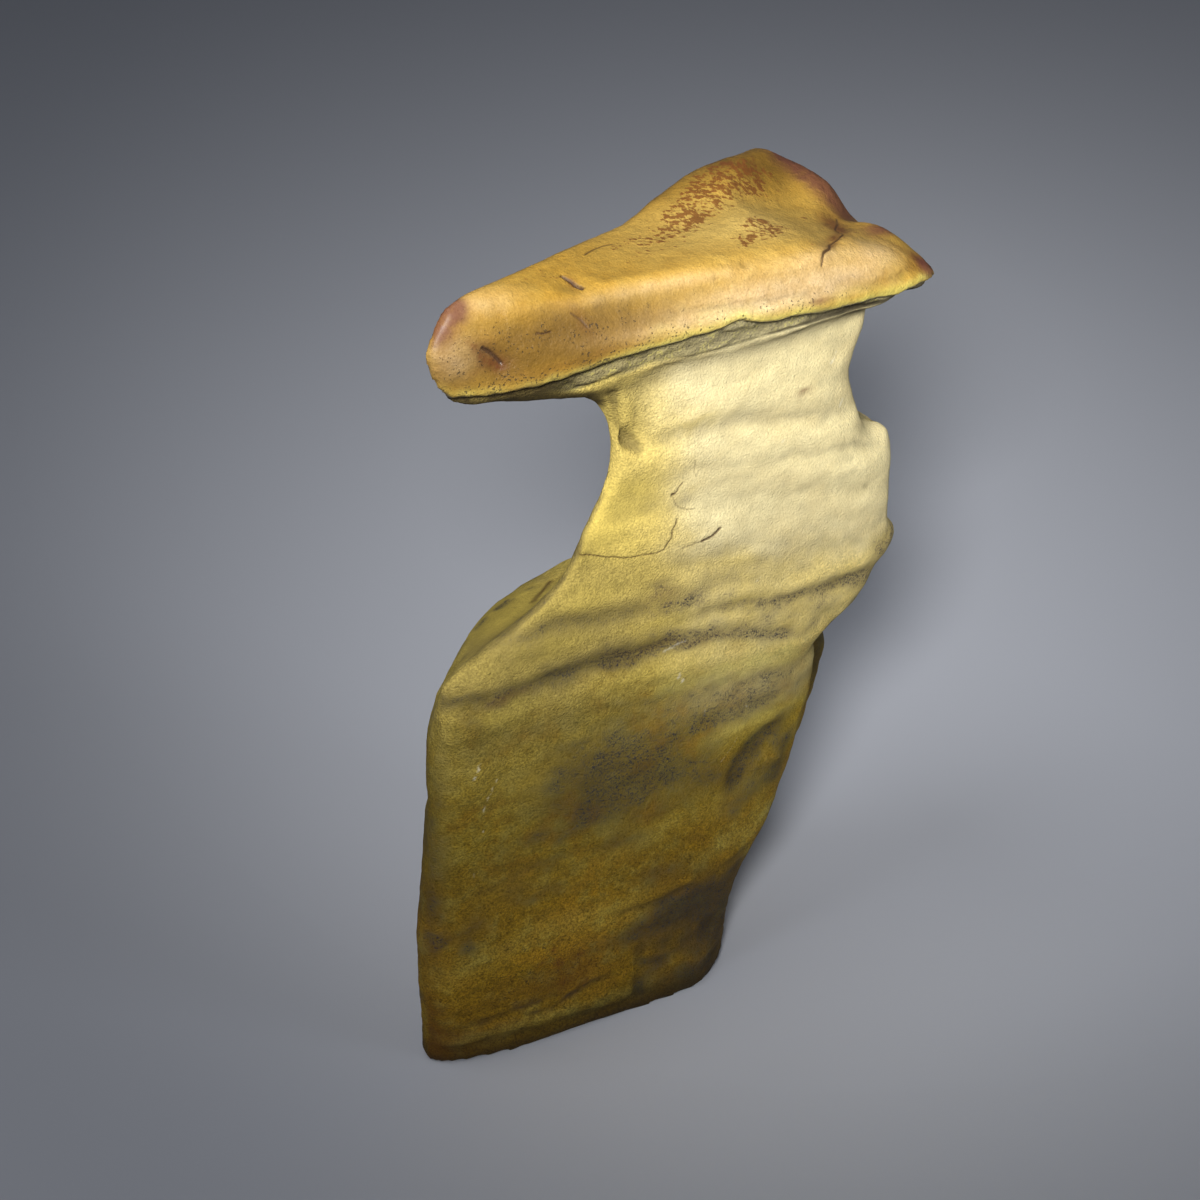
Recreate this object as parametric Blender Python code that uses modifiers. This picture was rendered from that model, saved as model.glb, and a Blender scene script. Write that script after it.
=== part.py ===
"""A natural banded stone with a mushroom outline, standing on its flat foot.

One solid: a slab-like column of level strata, a waisted neck and an overhanging cap.
The broad front looks along -Y, X runs to its right and +Z is up. Lengths are in millimetres
until MM turns them into metres.
"""

import math

import bmesh
import bpy
import numpy as np
from mathutils import Matrix, Vector, noise

MM = 0.001
OBJECT = "banded_agate"
NODE = "agate_stone"

# Fineness of the surface.
RING_POINTS = 96
LEVEL_STEP = 1.5
CAP_ROWS_PER_RING = 4
VOXEL = 1.0
SMOOTHING = 4
TRIANGLES = 9000
# The masses start this far below the floor, and the foot is then cut level.
BELOW_FLOOR = 3

# The uneven skin: how far it wanders, and over what lengths across and up the strata.
WANDER = 0.9
WANDER_ACROSS, WANDER_UP = 21, 8
RIPPLE = 0.2
RIPPLE_ACROSS, RIPPLE_UP = 8, 2.6
# The broad front is calmer than the other sides by this share.
FRONT_CALM = 0.4
# Each seam comes and goes over these lengths, and level seams drift up and down by a little.
PATCH_ACROSS, PATCH_UP = 26, 14
SEAM_DRIFT = 2.0
SEAM_LEAN = 0.06
SEAM_END_FADE = 4
# The cap has no level seams: they fade out over this stretch of height.
CAP_START, CAP_FADE = 130, 4

# The column seen from the front: (height, x) up its left edge and up its right edge.
LEFT_EDGE = (
    (0, -46), (4, -46.8), (18, -47.1), (40, -45.6), (57, -43.8), (71, -43.3), (77, -42.4), (80.5, -43.2),
    (82.8, -41.8), (85, -38), (87, -34), (90, -28.2), (94, -22.3), (98.5, -17.6), (103.5, -13.8),
    (109, -11), (114, -9.6), (118, -9.2), (121, -9.8), (124, -11.6), (126.5, -15), (129, -20), (138, -26),
)
RIGHT_EDGE = (
    (0, 17), (5, 18), (11, 18.5), (16, 20), (21, 22.6), (31, 28), (40, 30.6), (48, 32.4), (54, 33.8),
    (59, 35), (65, 34), (69.6, 33), (71.2, 36.6), (73.2, 41.6), (76.5, 43.8), (81.5, 46.8), (85.5, 48.8),
    (88.5, 47.6), (96, 47.8), (101.5, 49), (103.6, 49), (105.6, 44.6), (109, 40.6), (113, 38.8),
    (118, 37.8), (123, 37.8), (129, 39.3), (138, 42),
)
# Depths, y, against height: of both faces, and of the left and right edges between them.
FRONT_FACE = (
    (0, -24.8), (10, -24.2), (30, -23.5), (72, -23), (85, -22.5), (100, -21.5), (115, -21), (128, -20.5),
    (138, -20),
)
BACK_FACE = (
    (0, 18), (14, 20), (45, 21), (67, 21), (74, 18), (81, 13), (102, 11), (118, 9), (128, 10), (138, 12),
)
LEFT_DEPTH = ((0, -18), (12, -19), (60, -20), (85, -20.5), (105, -19), (118, -17), (125, -14), (138, -14))
RIGHT_DEPTH = ((0, -12), (40, -12), (66, -14), (80, -15), (98, -14), (104, -11), (112, -12), (138, -14))
# Where along x the back stands furthest out, and how square the two back corners are there:
# 1 is a straight cut from edge to edge, 2 an ellipse.
BACK_MIDDLE = ((0, -4), (40, -2), (67, -2), (73, 1), (81, 26), (88, 32), (138, 32))
BACK_LEFT = ((0, 1.4), (50, 1.35), (67, 1.36), (74, 1.3), (82, 1.06), (138, 1.05))
BACK_RIGHT = ((0, 1.6), (60, 1.8), (138, 2))
# How square the two front corners are.
FRONT_LEFT = ((0, 2.6), (12, 3.4), (40, 5), (138, 5))
FRONT_RIGHT = ((0, 2.2), (12, 2.8), (40, 3.2), (138, 3.2))

# The cap's sections from its underside to its top: the right, back, left and front points.
CAP_RINGS = (
    ((24, -8, 129.5), (18, 0, 124), (0, -12, 124), (14, -14, 130)),
    ((38, -15, 131.4), (28, 8, 124), (-14, -16.5, 125.6), (10, -21.4, 130.6)),
    ((41.5, -17.4, 132.6), (31, 12, 125.6), (-25, -18, 128), (9, -22.9, 131.4)),
    ((44, -18, 134.4), (33, 14, 127), (-31, -18.8, 129.6), (7, -23.3, 134.6)),
    ((47.5, -19, 135.7), (35, 16, 129), (-36.5, -19.5, 131), (5, -24.9, 135.4)),
    ((50.6, -18.5, 137), (37, 18, 135), (-40.5, -20, 137), (3, -24.4, 138)),
    ((47.5, -17.5, 139), (37, 18, 142), (-39.5, -19.5, 143.5), (2, -22.2, 142)),
    ((43, -15, 140.5), (35, 14, 148), (-34, -18.5, 147), (0, -19.6, 145)),
    ((32, -10, 143.5), (29, 8, 149), (-20, -16, 146.4), (4, -16, 145.4)),
    ((22, -6, 146), (21, 0, 148), (4, -10, 146.2), (12, -11, 146)),
)
CAP_CORNERS = (2.8, 1.0, 2.2, 2.6)

# The rear mass, which stands further right than the column's front: (height, x) up its right edge.
REAR_EDGE = (
    (0, 20), (10, 23), (22, 29.5), (34, 36), (45, 41.4), (54, 44.4), (60, 44), (65, 41), (69, 35), (72, 28),
)
REAR_LEFT, REAR_HIP, REAR_FRONT, REAR_BACK = -14, -5, -14, 20
REAR_CORNERS = (1.7, 2, 2, 2.4)

# Level seams across the front, each a ledge with a groove under it:
# (groove depth, half-width, (x, height) along it).
SEAMS = (
    (1.2, 1.3, (
        (-44, 77.4), (-36, 77.5), (-29, 78.2), (-21, 78.6), (-8, 78.4), (5, 78), (12, 77.2), (19, 75.2),
        (26, 73.7), (32, 74.2),
    )),
    (0.8, 1.2, ((8, 82.6), (14, 82), (19, 81.6), (27, 80.9), (34, 80.7), (41, 80.4))),
    (0.5, 1.8, ((-34, 86.6), (-27.5, 88.2), (-21, 88.7), (-14.6, 87.6), (-7, 87))),
    (0.8, 1.3, ((-2, 116.8), (6, 117.2), (14, 117), (21, 116), (28, 114.9), (36, 113))),
    (0.6, 1.1, ((17, 108.5), (24, 108.2), (30, 107.8), (36, 107), (44, 105.6))),
    (0.25, 1.4, ((2, 104.2), (17, 102.4), (30, 100), (38, 98.8))),
    (0.5, 2.2, ((-44, 69.3), (-31, 69.2), (-13, 67.3), (7, 65), (20, 62.6), (30, 60.8))),
    (0.2, 2.6, ((-47, 55.7), (-32, 53.7), (-13, 50.4), (6, 46.5), (20, 45))),
    (0.18, 2.6, ((-47, 38), (-30, 37), (-12, 35.2), (8, 33.4), (22, 33))),
    (0.35, 1.6, ((-48, 22), (-30, 21.4), (-12, 20.6), (6, 20.4), (19, 21))),
    (0.6, 1.0, ((-45, 8), (-37, 8.5), (-30.5, 9.3), (-26, 8.4), (-20, 8.2), (-13, 9.8), (2, 10.4), (14, 10.6))),
    (0.4, 0.8, ((-42, 3.6), (-26, 4.2), (-6, 4), (10, 4.8))),
)
# Seams round the sides and back: (height, groove depth, half-width).
SIDE_SEAMS = (
    (6, 0.8, 1.2), (13, 0.5, 1.6), (21.5, 0.8, 1.4), (33, 0.6, 1.8), (44, 0.9, 1.8), (53, 0.6, 1.6),
    (61, 0.7, 1.5), (69, 1.0, 1.4), (77.5, 1.2, 1.5), (87, 0.8, 1.6), (99, 0.6, 1.5), (107, 0.7, 1.4),
    (124, 0.6, 1.2),
)
# Lumps (pushed out) and hollows (pushed in): (centre, half-lengths, push).
STROKES = (
    # The cap: back right shoulder, the bite before the beak, the dip behind the left slope.
    ((41, 3, 145), (7, 9, 6), 1.6),
    ((46, -5, 141), (6, 6, 6), -1.9),
    ((0, -2, 145), (10, 6, 5), -0.8),
    ((21, 6, 149), (9, 7, 5), 0.7),
    ((-15.4, -19.8, 145.4), (2.2, 2.2, 1.2), -1.2),
    ((-29.5, -22, 136.5), (3.2, 2.5, 3), -0.9),
    ((31, -17.5, 142), (2.6, 3, 3), -0.9),
    ((18, -22, 138.5), (16, 3, 1.1), -0.7),
    ((-8, -22.5, 139.5), (9, 3, 1.2), -0.4),
    ((14, 6, 137), (15, 7, 5), -1.6),
    ((26, 14, 131), (9, 6, 5), 1.5),
    ((-18, -8, 140), (10, 5, 4), 1.0),
    ((46, 6, 134), (5, 9, 3), -1.4),
    # The neck: the pit by its left edge and the fold beside it.
    ((-5.2, -20.5, 117.4), (2.2, 2, 2.2), -1.6),
    ((-8, -18, 121.5), (1.3, 3, 4), 0.9),
    ((-5, -20.5, 121.5), (1.3, 2, 4), -0.8),
    ((8, -21.5, 122), (12, 4, 3), 0.7),
    ((41, -14, 111), (2.5, 4, 3), -0.8),
    ((-6, -20, 106), (7, 4, 6), -0.6),
    # The back: a groove where the low mass meets the shoulder, broad swells.
    ((-34, -13, 78), (5, 4, 3), -1.2),
    ((-25, -11, 80), (5, 4, 3.5), -1.6),
    ((-16, -8, 82), (5, 4, 4), -1.2),
    ((-24, 10, 48), (12, 10, 12), 1.8),
    ((6, 22, 34), (16, 6, 14), 1.6),
    ((-6, 18, 62), (12, 8, 7), -1.4),
    ((30, 12, 98), (12, 6, 8), 1.4),
    ((12, 4, 108), (8, 6, 10), -1.4),
    # The body: the slanting groove low on the right, swells between the seams, one small knob.
    ((13.9, -21.5, 44), (1.8, 4, 2.6), -1.0),
    ((16, -21, 47.6), (2, 4, 2.4), -1.5),
    ((19.2, -21, 50.6), (2.4, 4, 2), -1.8),
    ((22.8, -20.5, 52.9), (2.4, 4, 1.8), -1.3),
    ((24, -20, 47), (3, 5, 3), 0.8),
    ((-6.5, -23.5, 24.6), (5, 3, 1.0), 0.5),
    ((14.5, -21.5, 26.6), (3, 3, 1.0), 0.5),
    ((4.2, -22.6, 5), (4, 4, 4), 0.9),
    ((-3.4, -24, 9), (1.6, 3, 2.2), -0.8),
    ((-6, -24.2, 5.4), (1.6, 3, 2.6), -0.8),
    ((5.6, -23.5, 25.6), (1.3, 3, 1.1), 0.9),
    ((28, -20, 72.5), (8, 5, 3), 0.8),
    ((-37, -21.5, 73.6), (6, 4, 2.4), 0.6),
    ((2, -23, 73), (20, 4, 3), 0.5),
    ((-5, -23.5, 58), (16, 4, 5), 0.5),
    ((48.6, -15, 85.6), (2.4, 3, 1.4), 0.8),
)


def along(rail, height):
    """The value of a rail of (height, value) pairs at a height, on a smooth curve."""
    heights, values = np.array(rail, float).T
    slopes = np.diff(values) / np.diff(heights)
    tangents = np.concatenate([slopes[:1], (slopes[1:] + slopes[:-1]) / 2, slopes[-1:]])
    tangents[1:-1][slopes[1:] * slopes[:-1] <= 0] = 0
    span = int(np.clip(np.searchsorted(heights, height, "right") - 1, 0, len(slopes) - 1))
    width = heights[span + 1] - heights[span]
    t = (height - heights[span]) / width
    return (
        (1 + 2 * t) * (1 - t) ** 2 * values[span]
        + t * (1 - t) ** 2 * width * tangents[span]
        + t * t * (3 - 2 * t) * values[span + 1]
        + t * t * (t - 1) * width * tangents[span + 1]
    )


def ring(right, back, left, front, corners):
    """A closed ring through four points. Each corner's number says how square it is."""
    points = [Vector(p) for p in (right, back, left, front)]
    per_corner = RING_POINTS // 4
    result = []
    for quarter, square in enumerate(corners):
        start, end = points[quarter], points[(quarter + 1) % 4]
        heart = Vector((end.x, start.y)) if quarter % 2 == 0 else Vector((start.x, end.y))
        for step in range(per_corner):
            turn = math.pi / 2 * step / per_corner
            a = float(math.cos(turn) ** (2 / square))
            b = float(math.sin(turn) ** (2 / square))
            flat = heart + a * (start.xy - heart) + b * (end.xy - heart)
            result.append((*flat, start.z + (end.z - start.z) * math.sin(turn) ** 2))
    return result


def loft(bm, rings):
    """Closes a stack of rings into one shell: quads between neighbours, a face at each end."""
    rows = [[bm.verts.new(p) for p in points] for points in rings]
    for lower, upper in zip(rows, rows[1:]):
        for i in range(len(lower)):
            j = (i + 1) % len(lower)
            bm.faces.new((lower[i], lower[j], upper[j], upper[i]))
    bm.faces.new(rows[0][::-1])
    bm.faces.new(rows[-1])


def column_rings():
    """Level sections of the column, from below the foot to inside the cap."""
    rings = []
    for height in np.arange(-BELOW_FLOOR, LEFT_EDGE[-1][0] + 0.1, LEVEL_STEP):
        at = max(height, 0)
        left, right = along(LEFT_EDGE, at), along(RIGHT_EDGE, at)
        rings.append(ring(
            (right, along(RIGHT_DEPTH, at), height),
            (along(BACK_MIDDLE, at), along(BACK_FACE, at), height),
            (left, along(LEFT_DEPTH, at), height),
            ((left + right) / 2, along(FRONT_FACE, at), height),
            tuple(along(rail, at) for rail in (BACK_RIGHT, BACK_LEFT, FRONT_LEFT, FRONT_RIGHT)),
        ))
    return rings


def rear_rings():
    """Level sections of the rear mass; most of it is inside the column."""
    rings = []
    for height in np.arange(-BELOW_FLOOR, REAR_EDGE[-1][0] + 0.1, LEVEL_STEP):
        right = along(REAR_EDGE, max(height, 0))
        middle = (right + REAR_LEFT) / 2
        rings.append(ring(
            (right, REAR_HIP, height), (middle, REAR_BACK, height),
            (REAR_LEFT, REAR_HIP, height), (middle, REAR_FRONT, height),
            REAR_CORNERS,
        ))
    return rings


def cap_rings():
    """The cap's sections, with rows between them on a smooth curve."""
    table = np.array(CAP_RINGS, float)
    ends = np.concatenate([table[:1], table, table[-1:]])
    rings = []
    for span in range(len(table) - 1):
        before, start, end, after = ends[span:span + 4]
        for t in np.arange(CAP_ROWS_PER_RING) / CAP_ROWS_PER_RING:
            curve = (
                start
                + t * (end - before) / 2
                + t * t * (before - 2.5 * start + 2 * end - after / 2)
                + t ** 3 * (1.5 * (start - end) + (after - before) / 2)
            )
            rings.append(ring(*curve, CAP_CORNERS))
    rings.append(ring(*table[-1], CAP_CORNERS))
    return rings


def bell(distance):
    return np.exp(-distance ** 2)


def seam_profile(above, depth, width):
    """How far a seam moves the skin at a height above its line: a ledge over a groove over a swell."""
    return depth * (
        0.35 * bell((above - 1.7 * width) / (1.3 * width))
        - bell(above / width)
        + 0.3 * bell((above + 2.4 * width) / (1.8 * width))
    )


def seam_push(points, facing, patches):
    """Every seam's push on the skin: the drawn ones in front, the level ones round the other sides.

    facing is how squarely each point looks to the front; patches makes a seam come and go.
    """
    x, y, z = points.T
    front = np.clip(facing * 2.5 - 0.6, 0, 1)
    # The level seams start faint at the front's edge, so that its outline stays clean.
    side = (1 - front) * np.clip((y + 24) / 14, 0.15, 1)
    strength = np.clip(0.55 + 1.3 * patches, 0, 1.4)
    push = np.zeros(len(points))
    for depth, width, line in SEAMS:
        xs, heights = np.array(line, float).T
        outside = np.maximum(xs[0] - x, x - xs[-1])
        shown = front * bell(np.maximum(outside, 0) / SEAM_END_FADE) * (0.6 + 0.7 * strength)
        push += shown * seam_profile(z - np.interp(x, xs, heights), depth, width)
    for height, depth, width in SIDE_SEAMS:
        level = height + SEAM_DRIFT * patches - SEAM_LEAN * y
        push += side * strength * seam_profile(z - level, depth, width)
    return push


def stroke_push(points):
    push = np.zeros(len(points))
    for centre, half, amount in STROKES:
        reach = np.linalg.norm((points - centre) / half, axis=1)
        push += amount * bell(reach)
    return push


def field(points, across, up, seed):
    """Smooth noise from -1 to 1, stretched along the strata."""
    scale = np.array((1 / across, 1 / across, 1 / up))
    places = points * scale + seed
    return np.array([noise.noise(Vector(p)) for p in places.tolist()])


def read_vectors(mesh, kind):
    """Every vertex's "co" or "normal", one row each."""
    values = np.empty(len(mesh.vertices) * 3)
    mesh.vertices.foreach_get(kind, values)
    return values.reshape(-1, 3)


def carve(mesh):
    """Moves the fused skin out and in along its normals."""
    points = read_vectors(mesh, "co") / MM
    normals = read_vectors(mesh, "normal")
    facing = -normals[:, 1]
    below_cap = 1 - np.clip((points[:, 2] - CAP_START) / CAP_FADE, 0, 1)
    patches = field(points, PATCH_ACROSS, PATCH_UP, 3.0)
    calm = 1 - FRONT_CALM * np.clip(facing, 0, 1)
    push = below_cap * seam_push(points, facing, patches)
    push += stroke_push(points)
    push += calm * WANDER * field(points, WANDER_ACROSS, WANDER_UP, 11.0)
    push += RIPPLE * field(points, RIPPLE_ACROSS, RIPPLE_UP, 29.0)
    points += normals * push[:, None]
    mesh.vertices.foreach_set("co", (points * MM).ravel())


def new_object(name, mesh):
    obj = bpy.data.objects.new(name, mesh)
    bpy.context.scene.collection.objects.link(obj)
    return obj


def stone_material():
    material = bpy.data.materials.new("ochre_stone")
    material.use_nodes = True
    shader = material.node_tree.nodes["Principled BSDF"]
    shader.inputs["Base Color"].default_value = (0.50, 0.31, 0.07, 1)
    shader.inputs["Roughness"].default_value = 0.62
    shader.inputs["Metallic"].default_value = 0
    return material


def applied(obj):
    """The object's mesh with its modifiers worked into it; the object itself is gone."""
    graph = bpy.context.evaluated_depsgraph_get()
    mesh = bpy.data.meshes.new_from_object(obj.evaluated_get(graph))
    bpy.data.objects.remove(obj)
    return mesh


def fused_mesh():
    """The column, the rear mass and the cap as one skin."""
    bm = bmesh.new()
    loft(bm, column_rings())
    loft(bm, rear_rings())
    loft(bm, cap_rings())
    bmesh.ops.scale(bm, vec=(MM, MM, MM), verts=bm.verts)
    mesh = bpy.data.meshes.new("fused")
    bm.to_mesh(mesh)
    bm.free()
    stone = new_object("fused", mesh)
    remesh = stone.modifiers.new("Fuse", "REMESH")
    remesh.mode = "VOXEL"
    remesh.voxel_size = VOXEL * MM
    ease = stone.modifiers.new("Ease", "SMOOTH")
    ease.iterations = SMOOTHING
    return applied(stone)


def thinned(mesh):
    """The same skin in far fewer, uneven triangles."""
    stone = new_object("thinned", mesh)
    triangles = sum(len(face.vertices) - 2 for face in mesh.polygons)
    thin = stone.modifiers.new("Thin", "DECIMATE")
    thin.ratio = TRIANGLES / triangles
    thin.use_collapse_triangulate = True
    return applied(stone)


def cut_foot(mesh):
    """Cuts the stone level at the floor, so that it stands on a flat face."""
    bm = bmesh.new()
    bm.from_mesh(mesh)
    whole = bm.verts[:] + bm.edges[:] + bm.faces[:]
    cut = bmesh.ops.bisect_plane(bm, geom=whole, plane_co=(0, 0, 0), plane_no=(0, 0, 1), clear_inner=True)
    rim = [item for item in cut["geom_cut"] if isinstance(item, bmesh.types.BMEdge)]
    bmesh.ops.holes_fill(bm, edges=rim)
    bmesh.ops.triangulate(bm, faces=bm.faces)
    bm.to_mesh(mesh)
    bm.free()


def centre_over_origin(mesh):
    """Puts the middle of the stone's plan over the origin."""
    points = read_vectors(mesh, "co")
    middle = (points.min(axis=0) + points.max(axis=0)) / 2
    mesh.transform(Matrix.Translation((-middle[0], -middle[1], 0)))


def main():
    for obj in list(bpy.data.objects):
        bpy.data.objects.remove(obj)
    mesh = fused_mesh()
    carve(mesh)
    mesh = thinned(mesh)
    cut_foot(mesh)
    centre_over_origin(mesh)
    mesh.shade_smooth()
    mesh.materials.clear()
    mesh.materials.append(stone_material())
    stone = bpy.data.objects.new(NODE, mesh)
    group = bpy.data.collections.new(OBJECT)
    bpy.context.scene.collection.children.link(group)
    group.objects.link(stone)


main()
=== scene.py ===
"""The dressed model of a natural banded stone: one stone on a pale floor.

The stone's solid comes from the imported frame. A dense copy of it is eased smooth, then creased,
cracked, pitted and stained, and takes one procedural finish. Tables are in millimetres, in the
frame's own axes: the broad front looks along -Y and +Z is up. MM turns them into metres.
"""

import math

import bmesh
import bpy
import numpy as np
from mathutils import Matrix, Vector, noise


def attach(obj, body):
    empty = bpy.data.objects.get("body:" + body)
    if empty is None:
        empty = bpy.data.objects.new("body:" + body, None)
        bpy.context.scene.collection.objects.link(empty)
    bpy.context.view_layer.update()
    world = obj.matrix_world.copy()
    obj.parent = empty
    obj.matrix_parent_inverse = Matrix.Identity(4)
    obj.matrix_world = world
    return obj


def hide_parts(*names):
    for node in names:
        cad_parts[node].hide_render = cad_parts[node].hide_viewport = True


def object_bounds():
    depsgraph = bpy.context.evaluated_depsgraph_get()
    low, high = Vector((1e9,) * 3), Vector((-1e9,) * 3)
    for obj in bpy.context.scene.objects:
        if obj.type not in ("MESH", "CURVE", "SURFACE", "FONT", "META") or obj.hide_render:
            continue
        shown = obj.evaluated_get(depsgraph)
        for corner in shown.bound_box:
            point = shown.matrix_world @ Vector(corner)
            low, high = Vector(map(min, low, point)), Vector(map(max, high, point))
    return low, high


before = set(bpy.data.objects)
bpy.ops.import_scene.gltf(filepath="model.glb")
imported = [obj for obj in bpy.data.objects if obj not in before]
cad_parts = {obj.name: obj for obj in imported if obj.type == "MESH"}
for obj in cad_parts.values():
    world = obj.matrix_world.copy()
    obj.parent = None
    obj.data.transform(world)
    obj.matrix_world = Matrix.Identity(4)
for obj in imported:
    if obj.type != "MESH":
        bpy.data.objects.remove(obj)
solid_low, solid_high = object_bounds()

MM = 0.001
STONE = "agate_stone"
# Farther than any point of the stone is from a line.
FAR_OFF = 1e9
# A point whose share of facing the front or the top is over this shows there.
SHOWN = 0.2

# Fineness of the dressed skin, and how it is eased without shrinking.
VOXEL = 0.8
EASING_ROUNDS = 6
EASE_IN, EASE_OUT = 0.5, -0.52
# The left rim, the flutes and some creases are worn rounder than the rest, with this many rounds.
# Each round moves a point by this share of the way to its neighbours' mean.
WEAR_ROUNDS, WEAR_SHARE = 80, 0.6
WORN_HOLLOW = (17, 48)
WORN_CREASES = (
    ((-5, 115.5), (6.3, 117.1), (12.1, 117.1), (19, 116.1), (26, 115), (38, 112.6)),
    ((14, 108), (22.3, 108.2), (29.8, 107.7), (35, 106.9), (44, 103.4)),
    ((6, 101.4), (22, 101), (32, 99.5), (44, 97)),
    ((8, 82.6), (17.6, 81.6), (33, 80.6), (42, 80.2)),
)
# Where the skin is drawn out to its full shape: (centre, half-lengths, shift).
NUDGES = (
    ((40, 3, 143.5), (5, 6, 5), (0.7, 0.5, 1.2)),
    ((44, -8, 139.5), (5, 4.5, 4), (0.3, 0.3, 1.9)),
    ((46, -19.5, 137.5), (6.5, 5, 5), (0.8, -0.5, -2.0)),
    ((36, -21.5, 135.4), (5, 4, 2.6), (0, 0, -1.2)),
    ((35.5, -15, 127), (3, 6, 5), (1.5, -0.3, 0)),
    ((36, -15, 112.5), (4, 6, 4.5), (1.3, 0, 0.6)),
    ((44, -15, 105.2), (2.2, 4, 2), (1.4, -0.4, 0.8)),
    ((-12.5, -17, 108), (5, 8, 10), (-2.0, 0.5, 0)),
    ((-16, -17, 101), (4, 6, 5), (-1.0, 0.3, 0)),
    ((-13, -14, 128), (5, 8, 3), (-0.6, 0, -1.0)),
    ((38, -17, 133.5), (4, 5, 3), (1.0, -0.3, -0.8)),
    ((5, 14, 147), (22, 9, 5), (0.2, 0.6, 0.9)),
    ((-44.5, -18, 80.5), (3.5, 7, 3), (-1.2, 0, 0.9)),
    ((-48, -19, 22), (5, 8, 24), (-0.9, 0, 0)),
    ((5, -21, 2), (12, 6, 8), (1.0, -2.2, 0)),
    ((39, -8, 54), (6, 7, 11), (-2.6, 0, 0)),
)
# Folds on the front: (depth, half-width, (x, height) along it).
FOLDS = (
    (0.7, 0.8, (
        (-10.8, 126.2), (-10.2, 124), (-9.9, 120.4), (-8.6, 118.4), (-7.4, 116.6), (-6.2, 115.6),
    )),
    (0.6, 1.0, ((-9.2, 119.2), (-8.0, 117.7), (-7.6, 117.0))),
)
# Skin this close to a crack is split into finer faces, once for each reach.
CRACK_REACHES = (1.1, 0.6)
# Skin this close to the seam under the cap is split once.
SEAM_REACH = 1.0
# Skin under this height rests on the floor.
FLAT_BELOW = 0.12
# The bedding rises this much to the left for each millimetre across.
BEDDING_TILT = 0.11
# How sharply a pit's or a knob's edge falls.
PIT_STEEPNESS = 1.5
# Relief is read against skin that is eased by this many rounds, and this much of it counts as full.
RELIEF_ROUNDS, FULL_RELIEF = 14, 0.22

# Where the cap's lip ends, and where the seam below it ends, as (x, height) across the front.
LIP = (
    (-44, 137.4), (-38.3, 132.6), (-31.8, 132.0), (-21.6, 132.6), (-16.3, 133.4), (-10, 134.6),
    (-4.2, 135.0), (0.4, 135.6), (8.5, 136.3), (15.4, 135.4), (23.6, 134.2), (28.6, 134.4), (35.1, 134.8),
    (46, 135),
)
NECK_TOP = (
    (-16, 129.5), (-8, 131.2), (-3.8, 131.7), (2.8, 131.0), (9, 131.3), (15.5, 132.2), (22.4, 132.4),
    (30.8, 132.6), (38, 133.2), (46, 134.2),
)

# Creases across the front: (groove depth, half-width, (x, height) along it).
CREASES = (
    (0.16, 1.4, (
        (-43, 77.9), (-34.4, 77.6), (-22.9, 78.4), (-9.3, 78.2), (3.6, 78.0), (10.4, 77.2),
        (17.7, 75.2), (24.8, 73.6), (30, 74.2),
    )),
    (0.22, 1.3, ((6, 83), (13, 82), (17.6, 81.6), (25.3, 80.9), (33, 80.6), (40, 80.2))),
    (0.12, 1.5, ((2, 87.2), (12, 86.2), (22, 85.4), (32, 85), (44, 86))),
    (0.08, 1.0, ((-1.3, 116.5), (6.3, 117.1), (12.1, 117.1), (19, 116.1), (26, 115), (34, 113.2))),
    (0.1, 0.9, ((18, 108.1), (22.3, 108.2), (29.8, 107.7), (35, 106.9), (41, 104.4))),
    (0.08, 1.0, ((6, 106), (10, 106.9), (16, 106.6))),
    (0.08, 1.3, ((10, 101.2), (22, 101), (32, 99.5), (38, 98))),
    (0.15, 1.6, ((-34, 86.6), (-22.8, 88.4), (-16.1, 87.4), (-6, 86.6))),
    (0.15, 1.5, ((8, 67.2), (16, 66.8), (26, 66), (32, 66))),
    (0.15, 1.3, ((6, 61.2), (14, 61), (24, 60.4), (31, 61))),
    (0.2, 0.5, ((0.7, 139.5), (9.5, 139.1), (17.6, 138.3), (24, 138))),
    (0.25, 0.4, ((30, 137.1), (35, 137.4), (41, 137.5))),
    (0.2, 0.6, ((20.2, 136.6), (23.2, 136.8), (27, 136.4))),
    (0.3, 0.7, ((-42, 8.4), (-37.1, 8.6), (-32.2, 9.4), (-28, 9.5))),
    (0.4, 0.6, ((-29, 7.3), (-25.7, 7.1), (-22.9, 7.7), (-18.6, 9.1), (-15, 9.6))),
    (0.3, 0.8, ((-44, 3.4), (-30, 3.8), (-16, 2.8), (-4, 3.2))),
    (0.3, 0.7, ((-10, 23.3), (-6, 23.2), (-2, 23.2), (3, 24))),
    (0.3, 0.7, ((9, 25.2), (13.3, 25.4), (17, 26.6))),
)
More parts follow.
